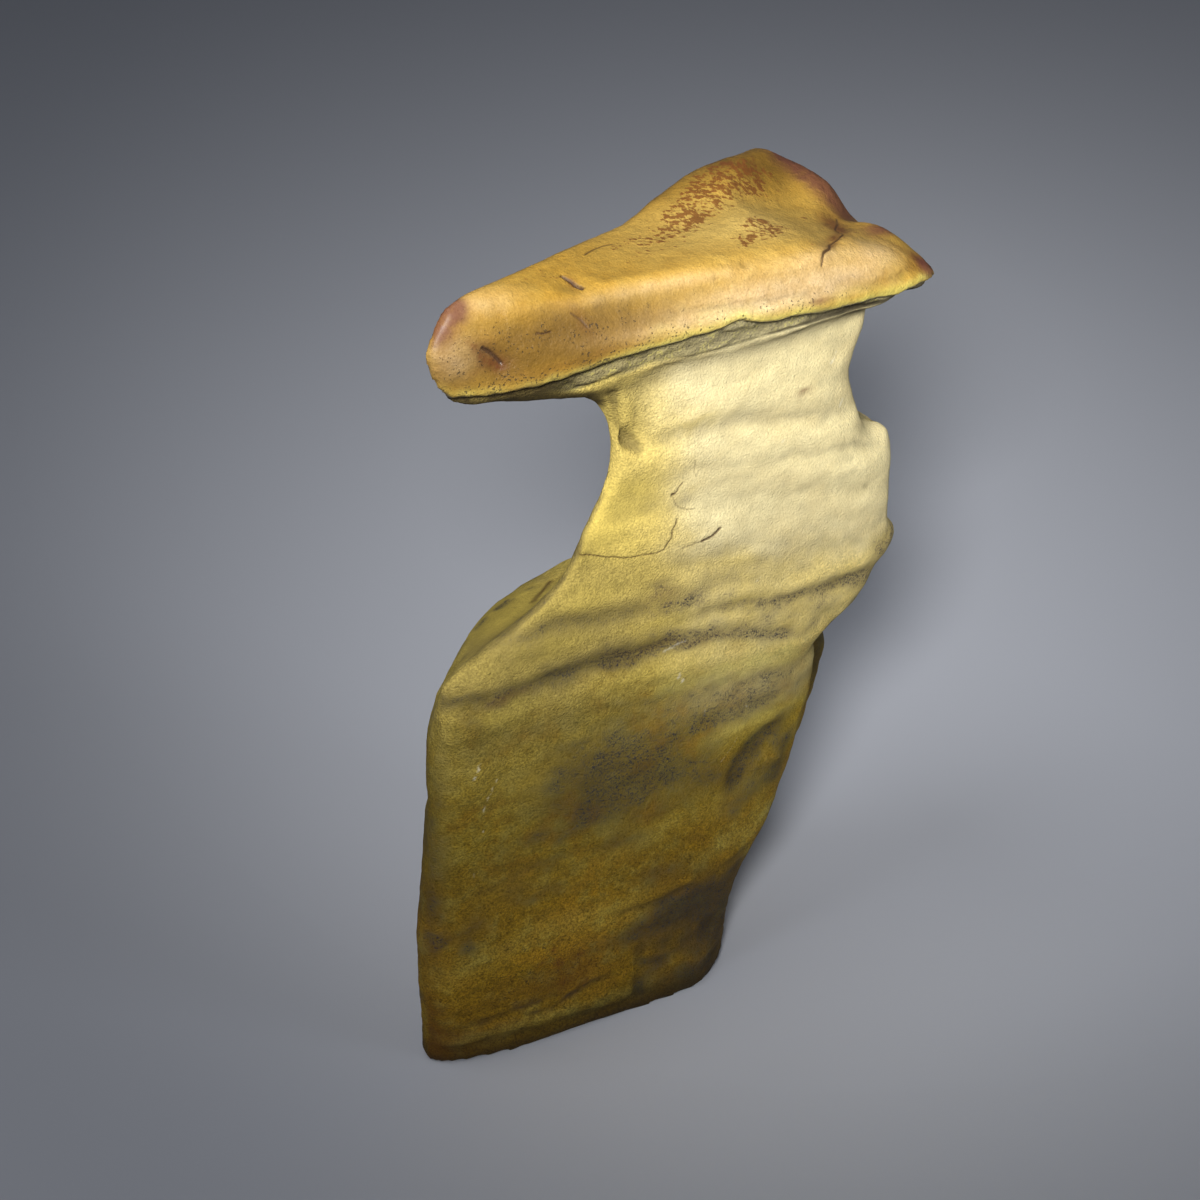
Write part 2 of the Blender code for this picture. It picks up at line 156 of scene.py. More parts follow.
# Hairline cracks on the front: (depth, half-width, (x, height) along it).
CRACKS = (
    (0.15, 0.11, (
        (-18.6, 99.6), (-17.4, 99.3), (-16, 99.2), (-14.6, 98.8), (-12.3, 97.9), (-11, 97.7),
        (-10, 97.2), (-7.8, 96.8), (-5.7, 96.7), (-3.4, 96.5), (-2, 96.8), (-1.4, 97.8),
        (-0.7, 98.8), (-0.5, 100.2), (0.1, 101.0), (0.4, 101.8),
    )),
    (0.3, 0.17, ((-0.3, 106.2), (0.2, 106.3))),
    (0.15, 0.11, ((0.2, 106.3), (0.7, 106.7), (0.9, 107.3), (1.7, 108.1))),
    (0.08, 0.1, ((-0.3, 106.2), (0.1, 105.2), (0.5, 104.2), (1.4, 103.4), (2.6, 102.9), (4, 102.8))),
    (0.07, 0.1, ((3.7, 111.8), (3.9, 110.6), (3.7, 109.6), (4.2, 108.6))),
    (0.1, 0.1, ((1.4, 96.2), (2.6, 96.4), (3.8, 96.6), (5.2, 96.6))),
    (0.3, 0.17, ((5.0, 96.6), (6.0, 96.9), (6.8, 97.1), (7.8, 97.7), (8.4, 98.3))),
    (0.15, 0.15, ((-24.9, 140.7), (-23.8, 140.4), (-22.6, 140.5))),
    (0.35, 0.22, ((-33.4, 139.8), (-32.7, 139.3), (-31.6, 138.2), (-30.8, 137.1))),
    (0.12, 0.14, ((-18.8, 142.4), (-17.5, 141.3), (-16.7, 140.1))),
)
# Cracks on the cap's top: (depth, half-width, (x, y) along it).
TOP_CRACKS = (
    (0.16, 0.14, ((-11.1, -10.1), (-9.6, -9.2), (-8, -8.6), (-6.8, -8.2), (-5.4, -8.1))),
    (0.2, 0.15, ((25.4, -20.6), (26.6, -19.2), (28.3, -18.2), (29.6, -16.4), (32.3, -14.8), (34.6, -12.8))),
    (0.16, 0.15, ((34.6, -11.6), (35.0, -9.6), (37.4, -6.8), (38.6, -4.6))),
    (0.4, 0.2, ((-17.4, -14.8), (-16.5, -16.2), (-16.2, -16.9), (-15.5, -17.9))),
)
# The brow where the cap's top turns down into its front, and the hollow band below it.
BROW = (
    (-28, -19.6, 144.6), (-20, -19.2, 144.6), (-15.7, -18.8, 144.4), (-8.3, -18.6, 144.6),
    (0.6, -19.4, 144.2), (9.7, -20.1, 143.3), (17.3, -20.6, 142.5), (23.5, -20.2, 142.4),
    (30.6, -17.2, 142.4), (38, -11, 141.6),
)
BROW_RISE, BROW_HALF = 0.4, 1.5
BAND_SINK, BAND_BELOW, BAND_HALF = 0.15, 3.6, 2.0
# Pits (pushed in) and small knobs (pushed out): (centre, half-lengths, push).
PITS = (
    ((-32.6, -21.6, 138.0), (2.6, 3, 2.6), -0.35),
    ((12, -19.5, 143.8), (0.8, 1, 0.5), -0.4),
    ((6.1, -20.4, 143.2), (0.5, 1, 0.5), -0.3),
    ((-10.9, -18.2, 120.2), (0.9, 2, 3), 0.35),
    ((34.7, -19.7, 104.4), (0.6, 1, 0.6), -0.2),
    ((35.2, -19.9, 101.8), (0.6, 1, 0.6), -0.2),
    ((38.5, -19.2, 97.8), (0.7, 1, 0.6), -0.25),
    ((4.1, -22.7, 25.7), (1.0, 2, 0.7), 0.5),
    ((23, -20.7, 45.9), (0.8, 1, 0.8), 0.45),
    ((21, -21, 52.4), (4.4, 4, 2), -0.5),
    ((16.6, -21, 49.6), (3, 4, 2.6), -0.6),
    ((13.4, -21, 45.4), (2.4, 4, 3), -0.5),
    ((21, -20.8, 46.6), (2.4, 3, 2), 0.4),
    ((-4, -22.5, 20.5), (3, 3, 1.6), 0.3),
    ((-6.8, -22.5, 12.6), (1.2, 3, 3), -0.35),
    ((-7.6, -22.5, 5.8), (0.9, 3, 3), -0.4),
    ((8.6, -22, 12), (2.4, 3, 2), -0.4),
)

# Blots of stain on the front: ((x, height), half-lengths, slope, strength).
GREY_BLOTS = (
    ((-12, 56), (10, 7), 0.05, 0.62), ((-16.8, 48), (2.6, 2.2), 0, 0.75), ((-20.3, 64), (4, 1.6), 0, 0.3),
    ((-11, 62.5), (3.4, 1.8), 0, 0.45), ((-17, 59.4), (9, 3), 0, 0.34), ((-6.6, 49.6), (7, 4), 0, 0.55),
    ((-4, 56), (7, 5), 0, 0.4), ((4, 51), (6, 4), 0, 0.45), ((8, 47.5), (4, 2.6), 0.2, 0.4),
    ((-19, 46.4), (4, 2), 0, 0.3), ((-4, 44.5), (7, 1.8), 0, 0.35), ((2, 60), (9, 4), 0, 0.42),
    ((0, 67.4), (11, 4), 0, 0.34), ((-20, 54), (6, 5), 0, 0.24), ((13.6, 63.6), (11, 2.6), -0.06, 0.4),
    ((8.1, 59.9), (4.5, 1.8), 0.1, 0.5), ((17.8, 59.9), (6, 1.6), 0, 0.45), ((27.3, 60), (5, 2), 0, 0.15),
    ((20, 62.4), (9, 3.4), 0, 0.35), ((25, 66), (6, 1.6), 0, 0.2), ((13.4, 45), (2.4, 3), 0.5, 0.6),
    ((15.6, 49), (2.8, 2.4), 0.8, 0.7), ((20, 51.8), (4.4, 2.4), 0.5, 0.75), ((24, 48.6), (3, 3), 0, 0.6),
    ((17, 46), (4, 3), 0, 0.4), ((22, 43), (3, 3), 0, 0.6), ((14.6, 39.6), (4, 3), 0.3, 0.5),
    ((-10.6, 40.4), (5, 2.4), 0, 0.3), ((-13.4, 52.4), (4, 2), 0, 0.4), ((22, 90), (9, 2.4), -0.1, 0.24),
    ((36, 87.6), (6, 3), -0.2, 0.14), ((12, 88), (8, 2.2), 0.1, 0.24), ((33, 93), (6, 2), -0.1, 0.1),
    ((10, 94), (9, 1.4), 0, 0.2), ((-3.7, 88.8), (5, 2.2), 0, 0.42), ((0.6, 85.8), (6, 1.8), 0, 0.5),
    ((12, 84.6), (9, 1.2), 0, 0.3), ((7, 90), (2.4, 1.4), 0, 0.3), ((20, 78.8), (9, 1.8), -0.05, 0.35),
    ((30, 77.6), (6, 1.6), 0, 0.35), ((43.4, 84.4), (3, 3), 0, 0.6), ((40, 79), (3, 2.4), 0, 0.6),
    ((46.4, 87), (1.4, 1.6), 0, 0.5), ((2.1, 104.5), (2, 1.4), 0, 0.2),
    ((20.6, 103.6), (8, 1.6), -0.1, 0.16), ((10, 109.6), (3, 1.2), 0, 0.1),
    ((28, 97), (9, 1.4), -0.1, 0.14), ((-41.6, 78.6), (3.4, 1.4), 0, 0.5),
    ((-34, 77.6), (5, 1.4), 0, 0.4), ((-38, 74.5), (2, 3), -1, 0.35), ((-12, 81), (10, 1.8), 0, 0.25),
    ((2, 81), (8, 1.6), 0, 0.3), ((-28, 86), (6, 2.4), 0.1, 0.22), ((0.6, 18.6), (7.6, 5), 0.1, 0.8),
    ((-7.4, 16.9), (4, 1.8), 0, 0.5), ((9.4, 16.5), (4.4, 7), 0, 0.8), ((6.8, 10.8), (5, 2.4), 0, 0.6),
    ((-3, 9.4), (2, 2.6), 0.4, 0.6), ((-6.4, 5.4), (1.4, 2.6), 0.6, 0.55),
    ((11.8, 8.9), (2.6, 5), 0, 0.7), ((5, 22), (5, 1.8), 0, 0.7), ((15, 21), (3, 5), 0, 0.7),
    ((2, 5), (8, 1.6), 0, 0.3), ((7.6, 4), (5.4, 4), 0, 0.6), ((-14, 18), (5, 2), 0, 0.2),
    ((-2, 29.4), (5, 2.6), 0, 0.36), ((-45.4, 29), (1.5, 1.6), 0, 0.6), ((-41, 26.6), (1.5, 2.6), 0, 0.4),
    ((-26.5, 46.8), (2.2, 1.5), 0, 0.45), ((-20.6, 45.4), (2.6, 1.4), 0, 0.3),
    ((-42, 30), (6, 2), 0.1, 0.25), ((-45, 56), (2.4, 15), 0, 0.3), ((-46.5, 38), (2, 7), 0, 0.4),
    ((-31, 36), (3, 1.6), 0, 0.25), ((-39, 31), (2.4, 4), 0, 0.2), ((-26, 33), (6, 1.2), 0, 0.25),
    ((-28, 39.6), (7, 1), 0.2, 0.25), ((-30, 68), (10, 2), 0.1, 0.15), ((-22, 58), (3, 3), 0, 0.2),
    ((-33, 45), (6, 4), 0, 0.12),
)
# Dark lines of stain on the front, which along the creases also paint the creases' shade: (strength,
# half-width, (x, height) along it).
GREY_LINES = (
    (0.24, 1.5, ((-43, 79.4), (-38, 79.2), (-32.6, 78.4), (-25.2, 77.6), (-17.9, 77.4))),
    (0.5, 1.7, ((-24, 79), (-16.1, 79.2), (-9.3, 79.0), (-2.6, 78.9), (6, 78.4))),
    (0.6, 1.6, ((-12, 78.4), (-6, 78.3), (3.6, 78.2), (10.4, 77.4), (17.7, 75.2), (22, 74.2))),
    (0.4, 0.9, ((20, 74.6), (24.8, 73.6), (30, 74.2))),
    (0.5, 1.3, ((9, 82.6), (17.6, 81.7), (25.3, 81.0), (33, 80.8), (39, 80.6))),
    (0.3, 1.6, ((-34, 87), (-22.8, 88.2), (-16.1, 87), (-9, 86.6))),
    (0.12, 0.7, ((7, 117), (12.1, 117.1), (19, 116.1), (26, 115.2), (33, 113.4))),
    (0.2, 0.7, ((17, 108), (22.3, 108.2), (29.8, 107.7), (35, 106.9), (41, 104.4))),
    (0.1, 0.7, ((6, 106), (10, 106.9), (16, 106.6))),
    (0.4, 0.6, ((-32.2, 9.4), (-28, 9.5))),
    (0.5, 0.5, ((-27.9, 7.2), (-25.7, 7.1))),
    (0.4, 0.5, ((-22.9, 7.7), (-18.6, 9.1), (-15, 9.6))),
    (0.3, 0.5, ((-39.3, 8.5), (-37.1, 8.6))),
    (0.55, 1.0, ((48, 88), (46, 84), (44.4, 80.6), (41, 75.4), (33, 71), (31, 69))),
)
# Rust on the front: ((x, height), half-lengths, slope, strength).
RUST_BLOTS = (
    ((-33.4, 138.6), (1.2, 0.9), -0.8, 1.0), ((-32.2, 137.3), (1.1, 0.8), -0.8, 1.0),
    ((-35, 140.4), (1.2, 0.5), -0.6, 0.6), ((-31.4, 136.0), (0.9, 0.8), -0.5, 1.0),
    ((-33.4, 136.6), (1.6, 0.7), 0.4, 0.4), ((-23.7, 19.6), (0.8, 0.7), 0, 0.8),
    ((-19.6, 16.8), (1.2, 0.7), 0, 0.7), ((-23.8, 16.3), (0.9, 0.7), 0, 0.8),
    ((-18.5, 10.6), (0.8, 0.6), 0, 0.7), ((-22, 12.9), (0.9, 0.7), 0, 0.7), ((-27, 18), (1, 0.6), 0, 0.6),
    ((-49, 9), (4, 10), 0, 0.7), ((-44.5, 6), (7, 4), 0, 0.5), ((-30, 12.4), (13, 3.4), 0, 0.3),
    ((-21, 14), (6, 4.4), 0, 0.4), ((-34, 6), (7, 1.6), 0, 0.35), ((-47, 27), (3, 6), 0, 0.2),
    ((-31, 77.4), (4, 0.8), 0, 0.35), ((-8, 79.6), (8, 0.8), 0, 0.15),
    ((24.2, 118.8), (0.8, 0.8), 0, 0.8), ((-32.2, 138.6), (2.6, 2.6), -0.9, 0.4),
    ((-31.6, 135.8), (0.9, 0.9), 0, 0.6), ((-39.4, 139), (2, 3), 0, 0.2), ((40, 137.6), (4, 0.5), 0, 0.4),
    ((45.6, 137.3), (2.4, 1.2), 0, 0.8), ((24, 137.4), (8, 0.8), 0, 0.25),
    ((-17.6, 141), (1.8, 1.8), -1, 0.3), ((-20, 134.6), (12, 1), 0.1, 0.3),
    ((-2.6, 88), (3.4, 1.6), 0, 0.22), ((0, 78), (12, 0.8), 0, 0.2),
)
# Rust on the cap's top: ((x, y), half-lengths, slope, strength).
TOP_RUST_BLOTS = (
    ((36.2, -7.4), (2.4, 3.8), 0.4, 1.0), ((32, -14), (2.8, 1.2), 0.7, 1.0),
    ((46.4, -17.6), (2, 1.6), 0, 0.9), ((41, -3.6), (1.8, 1.4), 0, 0.95),
    ((29.4, -17.2), (2, 0.6), 0.6, 0.9), ((-16.5, -16.4), (0.7, 1.4), 0, 0.8),
    ((43, -14.6), (4, 0.8), -0.6, 0.35), ((35.4, -10), (1.4, 2.6), 0, 0.9),
)
# Specks in clusters on the cap's top: ((x, y), half-lengths, slope, density).
SPECKLE_CLUSTERS = (
    ((25, 5), (6, 5), 0.2, 1.1), ((19, 2.6), (7, 3.6), 0.3, 0.95), ((15, -0.8), (6, 2.6), 0.3, 1.1),
    ((12, -4), (6, 2.2), 0.3, 0.95), ((6, -7.4), (7, 1.6), 0.2, 1.1),
    ((18.4, -13.2), (6, 1.9), 0.35, 1.15), ((20.6, -9.8), (3.4, 2.2), 0, 1.15),
    ((31.4, -5.4), (2.4, 1.2), 0, 0.6), ((-4, -8.4), (6, 1), 0.3, 0.6), ((8, -3), (6, 2), 0.3, 0.5),
    ((26, -16.6), (2.4, 0.9), 0, 0.5), ((0, -12), (8, 1.4), 0.2, 0.4), ((30, 8), (3, 2), 0, 0.5),
    ((36, -9), (3, 3), 0, 0.55), ((-18, -14), (6, 2), 0.1, 0.3), ((34, -14), (8, 1.2), 0.6, 0.5),
)
# Black dotting on the cap's front, along its lip and snout, and low on the column.
DOTTING_BLOTS = (
    ((-22, 134.4), (18, 1.5), 0.07, 0.8), ((-36, 137), (6, 4), 0, 0.3), ((0, 136.8), (14, 1), 0.02, 0.6),
    ((-28, 140), (8, 2.6), 0, 0.4), ((-12, 139.4), (8, 2.4), 0, 0.35), ((20, 137), (12, 1.2), 0, 0.4),
    ((-24, 18), (10, 6), 0, 0.45), ((-36, 12), (10, 5), 0, 0.3), ((-10, 31), (12, 3), 0.05, 0.2),
)
# Where the cap's crust is darker and browner, from tarnish and from painted shade at its left front: ((x,
# height), half-lengths, slope, strength).
TARNISH_AND_SHADE_BLOTS = (
    ((-24, 138.8), (17, 5), 0.03, 1.0), ((-38, 136), (5, 4), 0, 0.4), ((-6, 139.4), (10, 2.4), 0, 0.35),
    ((16, 137.6), (10, 1.4), 0, 0.3), ((34, 138.2), (10, 1.4), 0, 0.3),
)
# The same on the cap's top, where the facet that faces away to the right rear takes painted shade: ((x, y),
# half-lengths, slope, strength).
TOP_TARNISH_AND_SHADE_BLOTS = (
    ((33.5, 1), (5.5, 8), 0, 0.2), ((27, -11.6), (6, 4), 0.2, 0.25), ((38, -7), (4, 4), 0, 0.2),
    ((25, 10), (10, 6), 0, 0.7), ((9, 4), (12, 5), 0.2, 0.6), ((-14, -8), (14, 6), 0.2, 0.3),
    ((35, 9), (4, 4), 0, 0.5), ((30, 8), (7, 5), 0, 0.45), ((13, -13), (8, 2), 0.2, 0.12),
    ((-2, -12), (9, 2.4), 0.15, 0.15),
)
# Plum patches: (centre, half-lengths, strength).
PLUM_PATCHES = (
    ((-37.8, -19, 144.8), (3.0, 4, 2.6), 0.68), ((-39.6, -19.4, 142.4), (2.2, 4, 2.2), 0.6),
    ((43, 3.5, 142.5), (5, 8, 5), 1.4), ((40.5, 12, 145), (5.5, 8, 5.6), 1.4),
    ((47.5, -19, 136.8), (2.4, 4, 2), 0.95), ((43.5, -10, 140.6), (5, 2, 1.2), 0.7),
    ((-37, -18, 146), (3, 3, 2), 0.7), ((44, -12, 141.6), (6, 3, 1.6), 0.55),
    ((24, -23.5, 136.8), (3.5, 2, 0.7), 0.5), ((8, -22.6, 139.2), (10, 2, 0.6), 0.25),
    ((30, -23, 139), (7, 3, 1.6), 0.3), ((-40, -16, 138), (3, 4, 3), 0.3),
    ((20, 19, 142), (14, 4, 5), 0.55), ((-14, -6, 143.4), (8, 5, 2.4), 0.3),
    ((-26, -11, 145), (7, 3.6, 2.6), 0.35), ((8, -20.5, 143.2), (18, 1.4, 1.0), 0.2),
)
# Golden patches of smoother skin on the front: ((x, height), half-lengths, slope, strength).
GOLD_BLOTS = (
    ((-12, 103.6), (10, 6.5), 0.2, 0.7), ((-6, 108.6), (6, 4), 0, 0.4),
    ((-24, 84.6), (9, 2.8), 0.05, 0.7), ((-33.4, 73.6), (6, 2.6), 0, 0.55),
    ((-18, 91.6), (9, 2.4), 0, 0.5), ((3.8, 118.8), (5, 1.4), 0.1, 0.5), ((13.7, 83.4), (4, 1.4), 0, 0.4),
    ((-4.6, 82.8), (5, 1.2), 0, 0.3), ((-8, 74), (12, 2.2), 0.05, 0.3), ((-30, 57), (8, 5), 0, 0.3),
    ((14, 40), (12, 3), 0, 0.3), ((-34, 38), (8, 4), 0, 0.25), ((-8, 38), (10, 3), 0.1, 0.25),
    ((5, 71), (9, 2), 0, 0.35), ((16, 56.4), (8, 1.8), 0, 0.5),
)
# Pale scuffs on the front: (strength, half-width, (x, height) along it).
SCUFFS = (
    (0.32, 0.26, ((-33.6, 139.5), (-32.6, 138.4))),
    (0.28, 0.24, ((-32.0, 137.6), (-31.3, 136.6))),
    (0.62, 0.3, ((-36.6, 65.8), (-37.6, 63.4), (-38.4, 61.7))),
    (0.6, 0.28, ((-33.9, 61.1), (-35.6, 57.8), (-36.8, 54.4), (-36.7, 49.8))),
    (0.62, 0.3, ((-38.6, 43), (-38.5, 41.4), (-38.2, 39.9))),
    (0.85, 0.4, ((0.3, 72.3), (1.1, 70.6))),
    (0.5, 0.32, ((5.6, 65.4), (5.9, 62.6), (5.5, 60.0))),
    (0.45, 0.32, ((13.1, 54.0), (11.8, 52), (10, 50))),
    (0.5, 0.35, ((14.7, 60.9), (15.1, 60.3))),
    (0.55, 0.45, ((-2, 77.3), (0.2, 77.9), (2.2, 78.4))),
    (0.5, 0.36, ((15.2, 86), (16.4, 87), (17.4, 88.2))),
    (0.8, 0.35, ((7.2, 111.1), (7.7, 111.1))),
    (0.8, 0.4, ((20.0, 111.3), (20.5, 111.4))),
    (0.7, 0.35, ((32.4, 113.5), (33.6, 115.4))),
    (0.6, 0.45, ((31.4, 124.7), (30.6, 123.8), (30.1, 122.8))),
)
# Lime-yellow streaks on the front: (strength, half-width, (x, height) along it).
LIME_STREAKS = (
    (0.2, 3.0, ((-44, 21.6), (-39.3, 22.8), (-28.8, 25.1), (-18.2, 24.8), (-8, 24.6))),
    (0.4, 1.6, ((-43.1, 4.6), (-27.9, 5.4), (-18.7, 4.6), (-6, 5))),
    (0.3, 2.4, ((10, 31), (17.7, 32.2), (24, 33))),
    (0.25, 2.4, ((9, 56), (15.8, 57.2), (22, 57))),
    (0.45, 2.4, ((-2, 70.5), (8, 70), (18, 69.6), (24, 69.4))),
    (0.25, 1.5, ((-6, 136.8), (2, 137.4), (9, 137.9), (16, 137.2), (24, 136.2), (32, 136.6), (40, 136.8))),
)
# Painted shade on the front, with some darker tone: ((x, height), half-lengths, slope, strength).
PAINTED_SHADE_BLOTS = (
    ((-22, 80), (14, 6), 0, 0.85), ((-10, 91.5), (9, 4), 0.1, 0.55), ((-40, 77), (8, 8), 0, 0.9),
    ((-26, 86), (8, 3), 0, 0.3), ((16, 54), (11, 6), 0.1, 0.3), ((8, 45), (14, 6), 0.1, 0.7),
    ((22, 46), (6, 9), 0, 0.6), ((6, 16), (15, 16), 0, 1.0), ((-12, 5), (20, 6), 0, 0.8),
    ((12, 4), (9, 9), 0, 0.6), ((-34, 62), (12, 6), 0, 0.25), ((-2, 34), (14, 6), 0.1, 0.4),
    ((-8.5, 126.5), (5, 4.5), 0.1, 0.7), ((-8.6, 119), (3.4, 7), 0, 0.45), ((-9, 110), (4, 6), 0, 0.3),
    ((-17, 97), (4, 3), 0, 0.3), ((8, 96), (8, 2), 0, 0.25),
)
# The worn rim that runs down from the neck to the left shoulder takes painted shade, against the light that
# its rounding catches.
SHOULDER_RIM = ((-17.5, 99.5), (-24, 94), (-32.5, 87.8), (-40, 83.8), (-45, 81))
# Painted sheen on the cap, pale and waxy, most of it at the right: (centre, half-lengths, strength).
PAINTED_SHEEN_PATCHES = (
    ((14, -21.8, 139.6), (14, 4, 2.4), 0.7), ((36, -18, 140.4), (7, 4, 2), 0.6),
    ((27, -21, 139.6), (8, 4, 1.8), 0.6), ((-1, -20, 143.6), (14, 2, 1.0), 0.4),
    ((24, -19, 142.6), (8, 2.4, 1.0), 0.5), ((-38, -20, 139), (4, 4, 3), 0.35),
    ((-33, -18, 145.8), (6, 3, 1.6), 0.35), ((12, -23, 137.8), (17, 3, 1.4), 0.95),
)
# The back lobe at the left shoulder is smooth and yellow, with a dark-dotted rim.
LOBE, LOBE_HALF = (-20, 6, 77), (13, 13, 9)
LOBE_FISSURE = ((-8.6, 9.6, 76.1), (-11.2, 7.2, 76.3), (-13.2, 5.6, 76.4), (-14.6, 4.2, 76.4))
LOBE_RIM = ((-33.5, -3, 71.5), (-27.8, 3.3, 72.7), (-22, 6.6, 73.6), (-16.9, 8.9, 74.6), (-12, 9.6, 75.4))
# The hollow behind the column's right edge is painted dark: mostly painted shade, partly dark rock.
DARK_HOLLOW, DARK_HOLLOW_HALF = (38, -7, 57), (5, 7, 10)


# ---------------------------------------------------------------- sums over points
def bell(distance):
    """1 at no distance, and a soft fall to nothing."""
    return np.exp(-distance ** 2)


def smooth(value):
    """0 below 0, 1 above 1, and an even rise between."""
    t = np.clip(value, 0, 1)
    return t * t * (3 - 2 * t)


def above(value, edge, run):
    """0 up to the edge, and 1 from this far over it."""
    return smooth((value - edge) / run)


def below(value, edge, run):
    """0 down to the edge, and 1 from this far under it."""
    return smooth((edge - value) / run)


def height_of(line, x):
    """The height of a line of (x, height) at each x."""
    xs, heights = np.array(line, float).T
    return np.interp(x, xs, heights)


def distance_to(line, places):
    """Each place's distance to a line of points, flat or in space."""
    nearest = np.full(len(places), FAR_OFF)
    ends = np.array(line, float)
    for start, end in zip(ends, ends[1:]):
        run = end - start
        share = np.clip((places - start) @ run / (run @ run), 0, 1)
        nearest = np.minimum(nearest, np.linalg.norm(places - start - np.outer(share, run), axis=1))
    return nearest


def steps_from(centre, half, points):
    """How many half-lengths each point lies from the centre."""
    return np.linalg.norm((points - centre) / half, axis=1)


def stroke(line, half_width, places):
    """A soft stroke along a line."""
    return bell(distance_to(line, places) / half_width)


def union(shares):
    """One mask that is strong wherever any of the shares is."""
    clear = 1.0
    for share in shares:
        clear = clear * (1 - share)
    return 1 - clear


def blots(table, places):
    across, up = places.T
    return union(
        strength * bell(np.hypot((across - a) / wide, (up - u - slope * (across - a)) / tall))
        for (a, u), (wide, tall), slope, strength in table
    )


def strokes(table, places):
    return union(strength * stroke(line, half_width, places) for strength, half_width, line in table)


def patches(table, points):
    return union(strength * bell(steps_from(centre, half, points)) for centre, half, strength in table)


def field(points, across, up, seed):
    """Smooth noise from -1 to 1, of the given lengths across and up the strata."""
    places = points * np.array((1 / across, 1 / across, 1 / up)) + seed
    return np.array([noise.noise(Vector(p)) for p in places.tolist()])


# ---------------------------------------------------------------- the stone's skin
def read_vectors(mesh, kind):
    """Every vertex's "co" or "normal", one row each."""
    values = np.empty(len(mesh.vertices) * 3)
    mesh.vertices.foreach_get(kind, values)
    return values.reshape(-1, 3)


def write_points(mesh, points):
    mesh.vertices.foreach_set("co", points.ravel())
    mesh.update()


def read_edges(mesh):
    ends = np.empty(len(mesh.edges) * 2, int)
    mesh.edges.foreach_get("vertices", ends)
    return ends.reshape(-1, 2)


def neighbour_mean(values, edges):
    """Each vertex's mean over the vertices that it shares an edge with."""
    first, second = edges.T
    size = len(values)
    count = np.bincount(edges.ravel(), minlength=size)
    columns = [
        np.bincount(first, column[second], size) + np.bincount(second, column[first], size)
        for column in values.T
    ]
    return np.stack(columns, 1) / np.maximum(count, 1)[:, None]


class Skin:
    """A mesh's points in millimetres and its normals, and which way each part of it faces."""

    def __init__(self, mesh):
        self.points = read_vectors(mesh, "co") / MM
        self.normals = read_vectors(mesh, "normal")
        self.x, self.y, self.z = self.points.T
        self.front_view = self.points[:, (0, 2)]
        self.top_view = self.points[:, (0, 1)]
        self.front = smooth(-self.normals[:, 1] * 2.2 - 0.1) * below(self.y, -6, 6)
        self.top = smooth(self.normals[:, 2] * 2.5 - 0.4) * above(self.z, 133, 4)
        # The seam under the cap shows on what faces forward, from its wavy lip down to the neck.
        self.facing = smooth(-self.normals[:, 1] * 3) * below(self.y, -10, 5)
        along = self.points * (1, 0, 0)
        waves = 0.9 * field(along, 6, 1, 71.0) + 0.35 * field(along, 2.2, 1, 77.0)
        self.lip = height_of(LIP, self.x) + waves
        self.neck_top = height_of(NECK_TOP, self.x)

    def cracks(self):
        """Each crack's depth and half-width, every point's distance to it, and where it shows."""
        front = CRACKS, self.front_view, self.front
        top = TOP_CRACKS, self.top_view, self.top
        for table, view, shown in (front, top):
            for depth, half_width, line in table:
                yield depth, half_width, distance_to(line, view), shown

    def crack_distance(self):
        """The distance to the nearest crack, far off on faces that carry none."""
        nearest = np.full(len(self.x), FAR_OFF)
        for _, _, away, shown in self.cracks():
            nearest = np.minimum(nearest, np.where(shown > SHOWN, away, FAR_OFF))
        return nearest

    def crack_depth(self, wider=1.0):
        """How deep in a crack each point is, with the cracks this many times wider."""
        deep = np.zeros(len(self.x))
        for depth, half_width, away, shown in self.cracks():
            deep = np.maximum(deep, shown * depth * bell(away / (half_width * wider)))
        return deep

    def seam_distance(self):
        """The height between each point and the nearer edge of the seam under the cap."""
        away = np.minimum(np.abs(self.z - self.lip), np.abs(self.z - self.neck_top))
        return np.where(self.front > SHOWN, away, FAR_OFF)


def dense_copy(node):
    """The node's skin again, fine and eased, as a mesh of small quads."""
    bm = bmesh.new()
    bm.from_mesh(node.data)
    bmesh.ops.remove_doubles(bm, verts=bm.verts, dist=1e-6)
    mesh = bpy.data.meshes.new("dense")
    bm.to_mesh(mesh)
    bm.free()
    draft = bpy.data.objects.new("dense", mesh)
    bpy.context.scene.collection.objects.link(draft)
    remesh = draft.modifiers.new("Fine", "REMESH")
    remesh.mode = "VOXEL"
    remesh.voxel_size = VOXEL * MM
    graph = bpy.context.evaluated_depsgraph_get()
    dense = bpy.data.meshes.new_from_object(draft.evaluated_get(graph))
    bpy.data.objects.remove(draft)
    points, edges = read_vectors(dense, "co"), read_edges(dense)
    for _ in range(EASING_ROUNDS):
        for share in (EASE_IN, EASE_OUT):
            points += share * (neighbour_mean(points, edges) - points)
    write_points(dense, points)
    return dense


